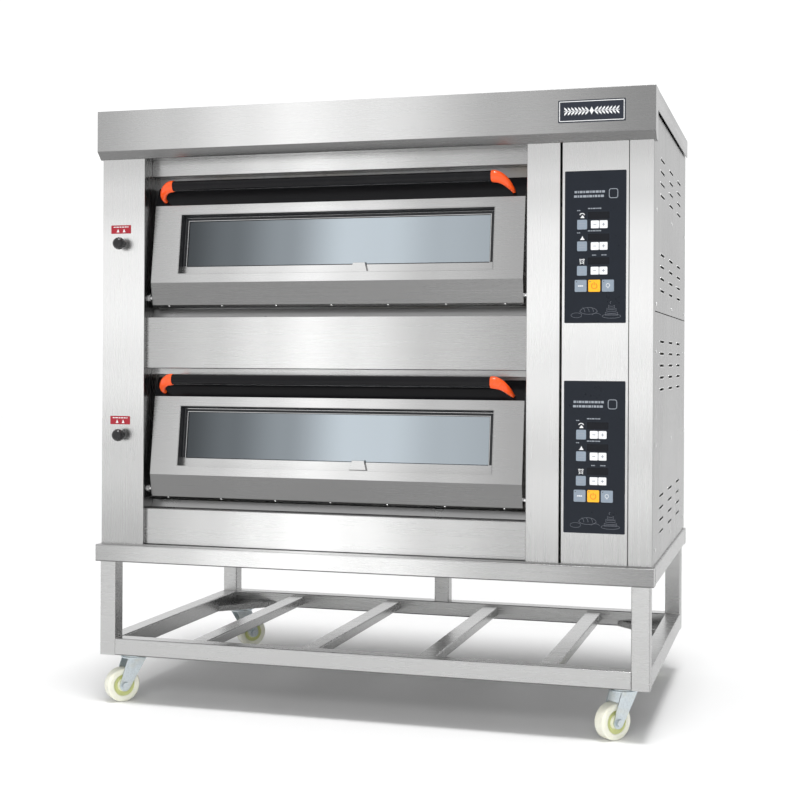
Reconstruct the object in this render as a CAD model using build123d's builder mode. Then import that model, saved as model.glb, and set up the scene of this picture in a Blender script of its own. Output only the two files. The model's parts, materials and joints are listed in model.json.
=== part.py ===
from build123d import *
import os
from math import cos, hypot, radians, sin

# Two-deck electric bakery oven on a wheeled tube stand.
# Millimetres, +Z up, the doors face -Y, +X is the operator's right.
# The origin is on the floor, under the middle of the whole object.

os.makedirs("parts", exist_ok=True)

# ---------------------------------------------------------------- driving dimensions
# Overall
width = 1250.0  # canopy, top cover and stand
depth = 765.0  # canopy front to back panel
body_inset = 5.0  # how far the body sides stand in from the canopy ends
sheet = 1.2  # casing sheet
bend_radius = 2.0  # outside radius of a folded edge
seam = 0.4  # gap where one sheet piece ends beside another

# Stand
stand_height = 360.0
tube = 38.0
tube_wall = 1.5
tube_corner = 3.0
leg_inset = 8.0  # legs stand in from the top frame's outline
slat_width = 38.0
slat_height = 22.0
slat_lift = 10.0  # slat underside above the lower rail underside
slat_inner_x = 133.0
slat_outer_x = 400.0
gusset_leg = 118.0
gusset_sheet = 3.0
gusset_lip = 14.0

# Casters
caster_height = 110.0
caster_inset_x = 67.0  # swivel centre from the end of the stand
caster_inset_y = 64.0  # swivel centre from the front or back of the stand
caster_heading = 48.0  # axle direction, turned from the front towards the right
caster_trail = 30.0  # wheel axle from the swivel centre
trail_ways = [-1, -1, 1, -1]  # which way each caster trails: front left, front right, rear left, rear right
wheel_radius = 38.0
wheel_width = 30.0
wheel_edge = 5.0
wheel_rim = 12.0  # height of the solid rim outside the recess
wheel_recess = 5.0
wheel_web_step = 3.0  # from the hub's radius to the flat of the web
hub_step = 1.0  # hub radius inside the fork's foot radius
axle_radius = 5.0
fork_sheet = 2.5
fork_gap = 2.5  # wheel side to fork leg
fork_foot_radius = 13.0
fork_top_radius = 31.0
mount_plate_x = 90.0
mount_plate_y = 70.0
mount_plate_sheet = 3.0
raceway_radius = 27.0
raceway_height = 6.0
crown_share = 1.6  # fork leg width at the crown, as a share of the raceway radius
mount_corner = 6.0
bolt_head = 6.0
bolt_across = 14.0  # across the flats
kingpin_radius = 6.0
kingpin_head_radius = 11.0
kingpin_head = 3.0
swivel_gap = 0.2
running_fit = 0.05  # radial clearance of a shaft in its hole
hub_gap = 0.3

# Front of the body, measured back from the canopy front
canopy_end = 45.0  # depth of the canopy's end caps and of the outer corner returns
column_setback = 18.0
fascia_setback = 30.0
fascia_ledge = 16.0  # depth of the fascia's folded top edge
sill_top_step = 22.0  # sill's top fold, behind the ledge's back edge
sill_foot_step = 16.0  # sill's foot, behind the ledge's back edge
header_setback = 58.0
mouth_setback = 100.0
column_return = 20.0

# Widths across the front
left_column_width = 104.0
jamb_width = 70.0
cover_gap = 4.0
control_cover_width = 138.0
corner_post_width = 50.0

# Heights, measured up from a door's bottom edge
first_door_height = 105.0  # lower door bottom above the stand
deck_pitch = 432.0
base_sheet = 1.5
sill_drop = 4.0
fascia_drop = 22.5
hinge_rise = 21.5
bend_rise = 55.0
steel_top_rise = 230.5
cap_top_rise = 273.0
header_rises = [279.5, 297.0]
header_lap = 14.5  # how far the header over the lower door shows below the fascia
canopy_rise = 334.0
header_height = 70.0
canopy_lip = 17.0
canopy_face = 91.0
cover_flange = 44.0

# Doors
door_side_gap = 10.25
door_sheet = 1.5
door_swing_gap = 1.0  # between the opening door's lower back corner and the chamber mouth
door_bottom_front = 46.0
door_chin_front = 40.5
door_chin_rise = 5.0
door_bend_front = 31.0
door_top_front = 55.0
cap_top_front = 75.0
cap_wall = 2.5
cap_edge = 3.0
window_side_margin = 64.0
window_top_margin = 20.0
window_bottom_margin = 19.0
jamb_depth = 20.0
frame_fit = 0.3
frame_sheet = 1.2
frame_side = 13.0
frame_bottom = 20.0
frame_top = 12.0
frame_lip = 8.0
glass_sheet = 4.0
inner_window_margin = 78.0
inner_window_bottom = 69.0
inner_window_top = 202.0
inner_window_corner = 6.0
glass_lap = 8.0
tab_offset = 60.0
tab_width = 43.0
tab_height = 24.0
tab_depth = 6.0
tab_slope = 75.0  # angle of the tab's sides
tab_draft = 20.0
hinge_setback = 50.0
hinge_radius = 5.0
hinge_collar_radius = 9.0
hinge_collar = 4.0
hinge_block = 14.0
hinge_nut = 5.0

# Handle
handle_radius = 11.5
handle_wall = 2.0
handle_half = 370.0
handle_setback = 14.0
handle_rise = 269.5
horn_foot_spread = 27.0  # how far the bracket feet stand out beyond the tube ends
horn_foot_rise = 10.0
horn_head_radius = 15.0
horn_head_out = 6.0  # centre of the round head, beyond the tube's end
horn_cup = 14.0  # how far the head reaches over the tube
horn_swell = ((0.0, 5.0), (0.35, 7.5), (0.7, 10.5), (1.0, 13.5))  # share of the path, radius

# Chambers
chamber_side = 22.0  # bay side to chamber mouth
chamber_sheet = 1.5
chamber_back_gap = 45.0
floor_drop = 6.0
mouth_bottom_rise = 30.0
mouth_top_rise = 247.0
ceiling_rise = 262.0
frame_side_lap = 10.0
frame_below = 26.0
frame_above = 320.0
hearth_sheet = 6.0
hearth_fit = 0.5
element_radius = 5.0
element_hole_gap = 0.3
element_bend = 45.0
element_tail = 28.0
element_rows = 3
element_inset = 100.0
element_gap = 8.0

# Insulation
wool_gap = 0.5
wool_right = 16.0  # slab between the chamber and the control space

# Louvres
slot_length = 80.0
slot_height = 5.0
slot_first = 190.0  # first column's centre, from the canopy front
slot_pitch_y = 195.0
slot_pitch_z = 25.5
panel_flange = 15.0
panel_seam_drop = 14.0  # seam between the side panels, below the upper door's bottom
panel_seam = 2.0
slot_columns = 3
slot_groups = {
    "upper": ((235.0, 4), (33.0, 4)),  # lowest slot above the door's bottom, rows
    "lower": ((255.0, 5), (-48.0, 4)),
}
vent_x = 372.0  # centres of the two vent groups in the back panel
vent_rise = 205.0
vent_pitch_x = 104.0
vent_rows = 5

# Controls
overlay_width = 126.0
overlay_height = 313.0
overlay_sheet = 2.0
overlay_top_rise = 274.0
overlay_corner = 2.0
cover_window_margin = 12.0
cover_window_corner = 4.0
key_size = 24.6
key_corner = 2.3
key_edge = 0.5
key_gap = 0.2
key_pitch = 28.0
key_row_drop = 236.5  # bottom key row centre below the overlay's top
key_row_left = 33.5  # first key centre from the overlay's left edge
key_proud = 0.8
key_travel = 0.6
key_flange = 1.0  # how far a key's collar stands out behind the overlay
key_collar = 1.0
key_switch_gap = 0.4
pad_proud = 0.4
pad_drops = (110.5, 155.0, 205.5)  # pad rows below the overlay's top
big_pad = (36.0, 20.0, 19.5, 2.0)  # place from the left edge, width, height, corner
small_pad_places = (62.3, 80.0)
small_pad = (16.0, 15.5, 1.5)  # width, height, corner
board_gap = 13.0
board_sheet = 1.6
spacer_radius = 4.0
spacer_inset = 5.0
board_part = (28.0, 20.0, 16.0)  # blocks on the circuit board: width, height, depth
board_part_pitch = (40.0, 70.0)
nameplate_width = 138.0
nameplate_height = 46.0
nameplate_sheet = 1.5
nameplate_right = 61.0  # plate's right edge from the canopy's right end
nameplate_drop = 2.0  # below the middle of the canopy's face
plate_corner = 1.5

# Steam dampers
damper_x_inset = 50.0  # from the body's left side
damper_rise = 143.0
label_rise = 176.0
label_shift = -4.0
label_width = 49.0
label_height = 19.0
label_sheet = 0.6
rod_radius = 4.0
bush_radius = 7.0
bush_nose_radius = 10.0
bush_nose = 6.0
bush_nut_radius = 13.0
bush_nut = 5.0
bush_length = 67.0
knob_radius = 13.0
knob_flat = 5.8  # radius of the flat on the knob's face
knob_shoulder = (3.9, 11.2)  # a point on the dome: back from the face, out from the axis
knob_full = 9.7  # where the dome reaches the full radius, back from the face
knob_waist = 11.7
knob_neck = 2.0  # neck wall round the rod
knob_front_out = 31.0
knob_length = 20.0
rod_length = 77.0

# Rear
gland_out = 22.0
gland_in = 12.0
gland_radius = 14.0
gland_thread_radius = 10.0
gland_bore_radius = 6.0
gland_inset_x = 110.0
gland_rise = 60.0
gland_chamfer = 4.0

# ---------------------------------------------------------------- derived places
knob_out = knob_front_out - column_setback
front = -(depth + gland_out + knob_out) / 2 + knob_out
back = front + depth
half = width / 2
body_half = half - body_inset

column_face = front + column_setback
fascia_face = front + fascia_setback
header_face = front + header_setback
mouth_face = front + mouth_setback

bay_left = -body_half + left_column_width
post_left = body_half - corner_post_width
cover_left = post_left - control_cover_width
jamb_right = cover_left - cover_gap
bay_right = jamb_right - jamb_width
bay_width = bay_right - bay_left
bay_mid = (bay_left + bay_right) / 2

deck_names = ["lower", "upper"]
deck_z = [stand_height + first_door_height + deck * deck_pitch for deck in range(2)]
body_z = stand_height + base_sheet
column_top = deck_z[1] + canopy_rise
top_z = column_top + canopy_lip + canopy_face

door_half = bay_width / 2 - door_side_gap
window_half = door_half - window_side_margin
slope_run = door_top_front - door_bend_front
slope_rise = steel_top_rise - bend_rise
slope_length = hypot(slope_run, slope_rise)

# Back edge of the door skin, from the canopy front: the corner behind it swings past the mouth.
swing_radius = mouth_setback - door_swing_gap - hinge_setback
door_back = hinge_setback + (swing_radius**2 - hinge_rise**2) ** 0.5 - door_sheet

chamber_half = bay_width / 2 - chamber_side
chamber_back = back - chamber_back_gap
overlay_x = (cover_left + post_left) / 2
damper_x = -body_half + damper_x_inset


# ---------------------------------------------------------------- helpers
def save(node, name):
    """Label a finished node and write its file."""
    node.label = name
    export_step(node, f"parts/{name}.step")


def save_group(pieces, name):
    """Write several like solids, which stay separate, as one node."""
    save(Compound(children=pieces), name)


def bent_sheet(points, thickness, length, plane):
    """Fold a strip of sheet along its outer line; the metal lies to the left of that line."""
    with BuildPart() as made:
        with BuildSketch(plane):
            with BuildLine():
                line = FilletPolyline(*points, radius=bend_radius)
                offset(line, amount=thickness, side=Side.LEFT)
            make_face()
        extrude(amount=length)
    return made.part


def block(low, high):
    """A plain slab between two corners."""
    with BuildPart() as made:
        with BuildSketch(Plane((low[0], low[1], low[2]))):
            Rectangle(high[0] - low[0], high[1] - low[1], align=(Align.MIN, Align.MIN))
        extrude(amount=high[2] - low[2])
    return made.part


def across(x):
    """The plane of a section seen from the right side, at a given X."""
    return Plane.YZ.offset(x)


def facing(y):
    """The plane seen from the front, at a given Y; it extrudes towards the front."""
    return Plane.XZ.offset(-y)


def hinge_plane(x, z):
    """A section across a door's hinge axis, centred on the axis."""
    return Plane((x, front + hinge_setback, z + hinge_rise), x_dir=(0, 1, 0), z_dir=(1, 0, 0))


# ---------------------------------------------------------------- stand
leg_x = half - leg_inset - tube / 2
leg_y = [front + leg_inset + tube / 2, back - leg_inset - tube / 2]
leg_clear_x = leg_x - tube / 2
leg_clear_y = [leg_y[0] + tube / 2, leg_y[1] - tube / 2]


def cut_tube(plane, length, high=tube, wide=tube):
    """One straight length of box tube, drawn on its end."""
    with BuildPart() as made:
        with BuildSketch(plane):
            RectangleRounded(wide, high, tube_corner)
            offset(amount=-tube_wall, mode=Mode.SUBTRACT)
        extrude(amount=length)
    return made.part


def tube_along_x(y, z, reach):
    return cut_tube(Plane((-reach, y, z), x_dir=(0, 1, 0), z_dir=(1, 0, 0)), 2 * reach)


def tube_along_y(x, z, start, end, high=tube, wide=tube):
    return cut_tube(Plane((x, start, z), x_dir=(-1, 0, 0), z_dir=(0, 1, 0)), end - start, high, wide)


def tube_up(x, y, start, end):
    return cut_tube(Plane((x, y, start)), end - start)


stand_tubes = []
for y in (front + tube / 2, back - tube / 2):
    stand_tubes.append(tube_along_x(y, stand_height - tube / 2, half))
for x in (-half + tube / 2, half - tube / 2):
    stand_tubes.append(tube_along_y(x, stand_height - tube / 2, front + tube, back - tube))
for x in (-leg_x, leg_x):
    stand_tubes.append(tube_along_y(x, caster_height + tube / 2, *leg_clear_y))
    for y in leg_y:
        stand_tubes.append(tube_up(x, y, caster_height, stand_height - tube))
for y in leg_y:
    stand_tubes.append(tube_along_x(y, caster_height + tube / 2, leg_clear_x))
stand_tubes.append(tube_up(0, leg_y[1], caster_height + tube, stand_height - tube))
save_group(stand_tubes, "stand_frame")

slat_z = caster_height + slat_lift + slat_height / 2
slats = []
for x in (-slat_outer_x, -slat_inner_x, slat_inner_x, slat_outer_x):
    slats.append(tube_along_y(x, slat_z, *leg_clear_y, high=slat_height, wide=slat_width))
save_group(slats, "stand_slats")


def gusset(side, end):
    """A triangular plate in one corner of the lower frame, its long edge folded up."""
    corner_x = side * leg_clear_x
    corner_y = leg_clear_y[0] if end < 0 else leg_clear_y[1]
    fold = gusset_sheet * 2**0.5
    tip_x = (corner_x - side * gusset_leg, corner_y)
    tip_y = (corner_x, corner_y - end * gusset_leg)
    fold_x = (corner_x - side * (gusset_leg - fold), corner_y)
    fold_y = (corner_x, corner_y - end * (gusset_leg - fold))
    with BuildPart() as made:
        with BuildSketch(Plane.XY.offset(caster_height)):
            with BuildLine():
                Polyline((corner_x, corner_y), tip_x, tip_y, close=True)
            make_face()
        extrude(amount=gusset_sheet)
        with BuildSketch(Plane.XY.offset(caster_height)):
            with BuildLine():
                Polyline(tip_x, tip_y, fold_y, fold_x, close=True)
            make_face()
        extrude(amount=gusset_lip)
    return made.part


corners = [(side, end) for end in (-1, 1) for side in (-1, 1)]
corner_names = ["front_left", "front_right", "rear_left", "rear_right"]
save_group([gusset(side, end) for side, end in corners], "caster_gussets")

# ---------------------------------------------------------------- casters
axle_dir = (sin(radians(caster_heading)), -cos(radians(caster_heading)), 0)
trail_dir = (cos(radians(caster_heading)), sin(radians(caster_heading)), 0)
back_dir = (-trail_dir[0], -trail_dir[1], 0)
raceway_z = caster_height - mount_plate_sheet
fork_top_z = raceway_z - raceway_height
fork_under_z = fork_top_z - swivel_gap - fork_sheet
fork_reach = wheel_width / 2 + fork_gap


def corner_trail(side, end):
    """How far a corner's wheel trails, along the direction its wheels roll in."""
    return caster_trail * trail_ways[corners.index((side, end))]


def swivel_point(side, end):
    y = front + caster_inset_y if end < 0 else back - caster_inset_y
    return (side * (half - caster_inset_x), y)


def wheel_point(side, end):
    x, y = swivel_point(side, end)
    trail = corner_trail(side, end)
    return (x + trail * trail_dir[0], y + trail * trail_dir[1], wheel_radius)


def caster_mount(side, end):
    """The fixed half of a swivel: top plate, raceway and the riveted kingpin."""
    x, y = swivel_point(side, end)
    with BuildPart() as made:
        with BuildSketch(Plane((x, y, raceway_z))):
            RectangleRounded(mount_plate_x, mount_plate_y, mount_corner)
        extrude(amount=mount_plate_sheet)
        with BuildSketch(Plane((x, y, fork_top_z))):
            Circle(raceway_radius)
        extrude(amount=raceway_z - fork_top_z)
        with BuildSketch(Plane((x, y, fork_under_z - swivel_gap))):
            Circle(kingpin_radius)
        extrude(amount=fork_top_z - fork_under_z + swivel_gap)
        with BuildSketch(Plane((x, y, fork_under_z - swivel_gap - kingpin_head))):
            Circle(kingpin_head_radius)
        extrude(amount=kingpin_head)
    return made.part


def caster_fork(side, end):
    """The turning half: a flat crown with two tapering legs."""
    x, y = swivel_point(side, end)
    foot = (corner_trail(side, end), wheel_radius)
    with BuildPart() as made:
        with BuildSketch(Plane((x, y, fork_under_z))):
            Circle(fork_top_radius)
            Circle(kingpin_radius + running_fit, mode=Mode.SUBTRACT)
        extrude(amount=fork_sheet)
        for reach in (fork_reach, -fork_reach - fork_sheet):
            origin = (x + reach * axle_dir[0], y + reach * axle_dir[1], 0)
            with BuildSketch(Plane(origin, x_dir=trail_dir, z_dir=axle_dir)):
                with Locations(foot):
                    Circle(fork_foot_radius)
                with Locations((0, fork_under_z + fork_sheet / 2)):
                    Rectangle(crown_share * raceway_radius, fork_sheet)
                make_hull()
                with Locations(foot):
                    Circle(axle_radius + running_fit, mode=Mode.SUBTRACT)
            extrude(amount=fork_sheet)
    return made.part


def axle_bolt(side, end):
    """A hexagon bolt through fork and wheel, with its nut."""
    x, y, z = wheel_point(side, end)
    outside = fork_reach + fork_sheet
    with BuildPart() as made:
        for start, length, radius in (
            (-outside - bolt_head, 2 * (outside + bolt_head), axle_radius),
            (outside, bolt_head, bolt_across / 2),
            (-outside - bolt_head, bolt_head, bolt_across / 2),
        ):
            origin = (x + start * axle_dir[0], y + start * axle_dir[1], z)
            with BuildSketch(Plane(origin, x_dir=trail_dir, z_dir=axle_dir)):
                if radius == axle_radius:
                    Circle(radius)
                else:
                    RegularPolygon(radius, 6, major_radius=False)
            extrude(amount=length)
    return made.part


def caster_wheel(side, end):
    """A moulded wheel with rounded tread edges and a recessed web on both sides."""
    centre = wheel_point(side, end)
    half_tread = wheel_width / 2
    hub = fork_reach - hub_gap
    hub_radius = fork_foot_radius - hub_step
    web_inner = hub_radius + wheel_web_step
    rim_inner = wheel_radius - wheel_rim
    recess = wheel_recess
    bore = axle_radius + running_fit
    with BuildPart() as made:
        with BuildSketch(Plane(centre, x_dir=axle_dir, z_dir=back_dir)):
            with BuildLine():
                rim = Polyline(
                    (half_tread, rim_inner),
                    (half_tread, wheel_radius - wheel_edge),
                )
                edge = RadiusArc(rim @ 1, (half_tread - wheel_edge, wheel_radius), -wheel_edge)
                tread = Line(edge @ 1, (wheel_edge - half_tread, wheel_radius))
                other = RadiusArc(tread @ 1, (-half_tread, wheel_radius - wheel_edge), -wheel_edge)
                Polyline(
                    other @ 1,
                    (-half_tread, rim_inner),
                    (recess - half_tread, rim_inner - recess),
                    (recess - half_tread, web_inner),
                    (-hub, hub_radius),
                    (-hub, bore),
                    (hub, bore),
                    (hub, hub_radius),
                    (half_tread - recess, web_inner),
                    (half_tread - recess, rim_inner - recess),
                    (half_tread, rim_inner),
                )
            make_face()
        revolve(axis=Axis(centre, axle_dir))
    return made.part


save_group([caster_mount(side, end) for side, end in corners], "caster_mounts")
for (side, end), name in zip(corners, corner_names):
    save_group([caster_fork(side, end), axle_bolt(side, end)], f"{name}_fork")
    save(caster_wheel(side, end), f"{name}_wheel")

# ---------------------------------------------------------------- casing
save(block((-body_half, column_face, stand_height), (body_half, back, body_z)), "base_pan")

column_height = column_top - body_z
floor_plane = Plane.XY.offset(body_z)

left_channel = bent_sheet(
    [
        (-body_half, front + canopy_end),
        (-body_half, column_face),
        (bay_left, column_face),
        (bay_left, mouth_face),
    ],
    sheet,
    column_height,
    floor_plane,
)
with BuildPart() as left_column:
    add(left_channel)
    for z in deck_z:
        with BuildSketch(facing(column_face + sheet)):
            with Locations((damper_x, z + damper_rise)):
                Circle(bush_radius)
        extrude(amount=2 * sheet, mode=Mode.SUBTRACT)
        with BuildSketch(hinge_plane(bay_left - 2 * sheet, z)):
            Circle(hinge_radius)
        extrude(amount=3 * sheet, mode=Mode.SUBTRACT)
save(left_column.part, "left_column")

jamb_channel = bent_sheet(
    [
        (bay_right, mouth_face),
        (bay_right, column_face),
        (jamb_right, column_face),
        (jamb_right, column_face + column_return),
    ],
    sheet,
    column_height,
    floor_plane,
)
with BuildPart() as right_jamb:
    add(jamb_channel)
    for z in deck_z:
        with BuildSketch(hinge_plane(bay_right - sheet, z)):
            Circle(hinge_radius)
        extrude(amount=3 * sheet, mode=Mode.SUBTRACT)
save(right_jamb.part, "right_jamb")

right_corner_post = bent_sheet(
    [
        (post_left, column_face + column_return),
        (post_left, column_face),
        (body_half, column_face),
        (body_half, front + canopy_end),
    ],
    sheet,
    column_height,
    floor_plane,
)
save(right_corner_post, "right_corner_post")

overlay_z = [z + overlay_top_rise - overlay_height / 2 for z in deck_z]
cover_tray = bent_sheet(
    [
        (cover_left, column_face + column_return),
        (cover_left, column_face),
        (post_left - seam, column_face),
        (post_left - seam, column_face + column_return),
    ],
    sheet,
    column_height,
    floor_plane,
)
cover_window_width = overlay_width - 2 * cover_window_margin
cover_window_height = overlay_height - 2 * cover_window_margin
with BuildPart() as control_cover:
    add(cover_tray)
    with BuildSketch(facing(column_face + 2 * sheet)):
        with Locations(*[(overlay_x, z) for z in overlay_z]):
            RectangleRounded(cover_window_width, cover_window_height, cover_window_corner)
    extrude(amount=3 * sheet, mode=Mode.SUBTRACT)
save(control_cover.part, "control_cover")

canopy_line = [
    (front + canopy_end, top_z),
    (front, top_z),
    (front, top_z - canopy_face),
    (front + canopy_lip, column_top),
    (header_face, column_top),
]
canopy_fold = bent_sheet(canopy_line, sheet, width, across(-half))
with BuildPart() as canopy_fascia:
    add(canopy_fold)
    notch_from = body_half - panel_flange - seam
    for side in (-1, 1):
        with BuildSketch(Plane.XY.offset(column_top - sheet)):
            with Locations((side * (notch_from + half) / 2, (front + canopy_end + header_face) / 2)):
                Rectangle(half - notch_from, header_face - front - canopy_end)
        extrude(amount=3 * sheet, mode=Mode.SUBTRACT)
    for x in (-half, half - sheet):
        with BuildSketch(across(x)):
            with BuildLine():
                edge = FilletPolyline(*canopy_line[:4], (front + canopy_end, column_top), radius=bend_radius)
                Line(edge @ 1, edge @ 0)
            make_face()
        extrude(amount=sheet)
save(canopy_fascia.part, "canopy_fascia")

top_cover = bent_sheet(
    [
        (half, top_z - cover_flange),
        (half, top_z),
        (-half, top_z),
        (-half, top_z - cover_flange),
    ],
    sheet,
    depth - canopy_end,
    facing(back),
)
save(top_cover, "top_cover")

bay_span = bay_width - 2 * seam
bay_plane = across(bay_left + seam)


header_z = [z + rise for z, rise in zip(deck_z, header_rises)]
ledge_y = fascia_face + fascia_ledge


def header(base):
    """The recessed bright panel over a door, with a return back to the chamber front."""
    line = [(header_face, base + header_height), (header_face, base), (mouth_face, base)]
    return bent_sheet(line, sheet, bay_span, bay_plane)


def fascia(low, high):
    """A tray-shaped front panel between two heights."""
    line = [(ledge_y, high), (fascia_face, high), (fascia_face, low), (header_face, low)]
    return bent_sheet(line, sheet, bay_span, bay_plane)


def sill(z):
    """The stepped strip below a door, from the fascia's ledge back to the chamber front."""
    foot = z - fascia_drop
    top = z - sill_drop
    line = [
        (mouth_face, top),
        (ledge_y + sill_top_step, top),
        (ledge_y + sill_foot_step, foot),
        (ledge_y, foot),
    ]
    return bent_sheet(line, sheet, bay_span, bay_plane)


save_group([header(z) for z in header_z], "header_panels")
save(fascia(header_z[0] + header_lap, deck_z[1] - fascia_drop), "mid_fascia")
save(fascia(body_z, deck_z[0] - fascia_drop), "bottom_fascia")
save_group([sill(z) for z in deck_z], "door_sills")

# ---------------------------------------------------------------- side and back panels
panel_seam_z = deck_z[1] - panel_seam_drop
cover_under = top_z - sheet
panel_back = back - sheet


def side_panel(side, low, high, deck):
    """A removable side sheet with folded edges and rows of cooling slots."""
    inner = side * (body_half - panel_flange)
    outer = side * body_half
    start = front + canopy_end
    line = [(inner, start), (outer, start), (outer, panel_back), (inner, panel_back)]
    if side < 0:
        line.reverse()
    tray = bent_sheet(line, sheet, high - low, Plane.XY.offset(low))
    slots = []
    for rise, rows in slot_groups[deck_names[deck]]:
        for column in range(slot_columns):
            y = front + slot_first + column * slot_pitch_y
            slots += [(y, deck_z[deck] + rise + row * slot_pitch_z) for row in range(rows)]
    with BuildPart() as made:
        add(tray)
        with BuildSketch(across(min(outer, outer - side * 2 * sheet) - sheet)):
            with Locations(*slots):
                SlotOverall(slot_length, slot_height)
        extrude(amount=4 * sheet, mode=Mode.SUBTRACT)
    return made.part


for side, name in ((-1, "left_side_panels"), (1, "right_side_panels")):
    lower_panel = side_panel(side, body_z, panel_seam_z - panel_seam / 2, 0)
    upper_panel = side_panel(side, panel_seam_z + panel_seam / 2, cover_under, 1)
    save_group([lower_panel, upper_panel], name)

gland_x = body_half - gland_inset_x
gland_z = stand_height + gland_rise
with BuildPart() as back_panel:
    with BuildSketch(facing(back)):
        with Locations((0, (body_z + cover_under) / 2)):
            Rectangle(2 * body_half, cover_under - body_z)
    extrude(amount=sheet)
    with BuildSketch(facing(back)):
        with Locations(*[(x, z + vent_rise) for x in (-vent_x, vent_x) for z in deck_z]):
            with GridLocations(vent_pitch_x, slot_pitch_z, 2, vent_rows):
                SlotOverall(slot_length, slot_height)
        with Locations((gland_x, gland_z)):
            Circle(gland_thread_radius)
    extrude(amount=sheet, mode=Mode.SUBTRACT)
save(back_panel.part, "back_panel")

with BuildPart() as cable_gland:
    for start, length, radius in (
        (gland_out, gland_out, gland_radius),
        (0.0, sheet, gland_thread_radius),
        (-sheet, gland_in - sheet, gland_radius),
    ):
        with BuildSketch(facing(back + start)):
            with Locations((gland_x, gland_z)):
                Circle(radius)
        extrude(amount=length)
    with BuildSketch(facing(back + gland_out)):
        with Locations((gland_x, gland_z)):
            Circle(gland_bore_radius)
    extrude(amount=gland_out + gland_in, mode=Mode.SUBTRACT)
    chamfer(cable_gland.faces().sort_by(Axis.Y)[-1].edges().sort_by(SortBy.RADIUS)[-1], gland_chamfer)
save(cable_gland.part, "cable_gland")

# ---------------------------------------------------------------- chambers
element_y = [
    mouth_face + element_inset + row * (chamber_back - mouth_face - 2 * element_inset) / (element_rows - 1)
    for row in range(element_rows)
]


def element_levels(z):
    """Heights of the heaters over the floor and under the ceiling."""
    under_hearth = (z - floor_drop + z + mouth_bottom_rise - hearth_sheet) / 2
    return (under_hearth, z + ceiling_rise - element_gap)


def element_holes(z):
    """Where the heater tails pass through the right wall: (Y, Z) places."""
    turns = (-element_bend, element_bend)
    return [(y + turn, level) for level in element_levels(z) for y in element_y for turn in turns]


def chamber(z):
    """A welded box, open at the front, with a frame round its mouth."""
    floor = z - floor_drop
    ceiling = z + ceiling_rise
    with BuildPart() as made:
        with BuildSketch(facing(chamber_back + chamber_sheet)):
            with Locations((bay_mid, (floor + ceiling) / 2)):
                Rectangle(2 * (chamber_half + chamber_sheet), ceiling - floor + 2 * chamber_sheet)
        extrude(amount=chamber_back + chamber_sheet - mouth_face)
        with BuildSketch(facing(mouth_face + chamber_sheet)):
            with Locations((bay_mid, z + (frame_above - frame_below) / 2)):
                Rectangle(bay_width + 2 * frame_side_lap, frame_above + frame_below)
        extrude(amount=chamber_sheet)
        with BuildSketch(facing(chamber_back)):
            with Locations((bay_mid, (floor + ceiling) / 2)):
                Rectangle(2 * chamber_half, ceiling - floor)
        extrude(amount=chamber_back - mouth_face - chamber_sheet, mode=Mode.SUBTRACT)
        with BuildSketch(facing(mouth_face + 2 * chamber_sheet)):
            with Locations((bay_mid, z + (mouth_bottom_rise + mouth_top_rise) / 2)):
                Rectangle(2 * chamber_half, mouth_top_rise - mouth_bottom_rise)
        extrude(amount=3 * chamber_sheet, mode=Mode.SUBTRACT)
        with BuildSketch(across(bay_mid + chamber_half - chamber_sheet)):
            with Locations(*element_holes(z)):
                Circle(element_radius + element_hole_gap)
        extrude(amount=3 * chamber_sheet, mode=Mode.SUBTRACT)
    return made.part


for z, name in zip(deck_z, deck_names):
    save(chamber(z), f"{name}_chamber")

hearths = []
hearth_half = chamber_half - hearth_fit
hearth_front = mouth_face + chamber_sheet + hearth_fit
for z in deck_z:
    hearth_top = z + mouth_bottom_rise
    low = (bay_mid - hearth_half, hearth_front, hearth_top - hearth_sheet)
    high = (bay_mid + hearth_half, chamber_back - hearth_fit, hearth_top)
    hearths.append(block(low, high))
save_group(hearths, "hearth_plates")


def hairpin(y, z):
    """One sheathed heater: out from the right wall, round, and back."""
    start_x = bay_mid + chamber_half + element_tail
    turn_x = bay_mid - chamber_half + element_bend + 3 * element_radius
    with BuildPart() as made:
        with BuildLine():
            out = Line((start_x, y - element_bend, z), (turn_x, y - element_bend, z))
            turn = ThreePointArc(out @ 1, (turn_x - element_bend, y, z), (turn_x, y + element_bend, z))
            Line(turn @ 1, (start_x, y + element_bend, z))
        with BuildSketch(Plane(out @ 0, z_dir=(-1, 0, 0))):
            Circle(element_radius)
        sweep()
    return made.part


hairpins = [hairpin(y, level) for z in deck_z for level in element_levels(z) for y in element_y]
save_group(hairpins, "heating_elements")


def wool_beside(z, side):
    """The wool slab beside a chamber; the right one is pierced for the heater tails."""
    near = chamber_half + chamber_sheet + wool_gap
    far = bay_mid + body_half - sheet - 4 * wool_gap if side < 0 else near + wool_right
    x = sorted((bay_mid + side * near, bay_mid + side * far))
    y = mouth_face + chamber_sheet + wool_gap
    slab = block((x[0], y, z - floor_drop), (x[1], chamber_back, z + ceiling_rise))
    with BuildPart() as made:
        add(slab)
        if side > 0:
            with BuildSketch(across(x[0] - wool_gap)):
                with Locations(*element_holes(z)):
                    Circle(element_radius + element_hole_gap)
            extrude(amount=x[1] - x[0] + 2 * wool_gap, mode=Mode.SUBTRACT)
    return made.part


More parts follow.
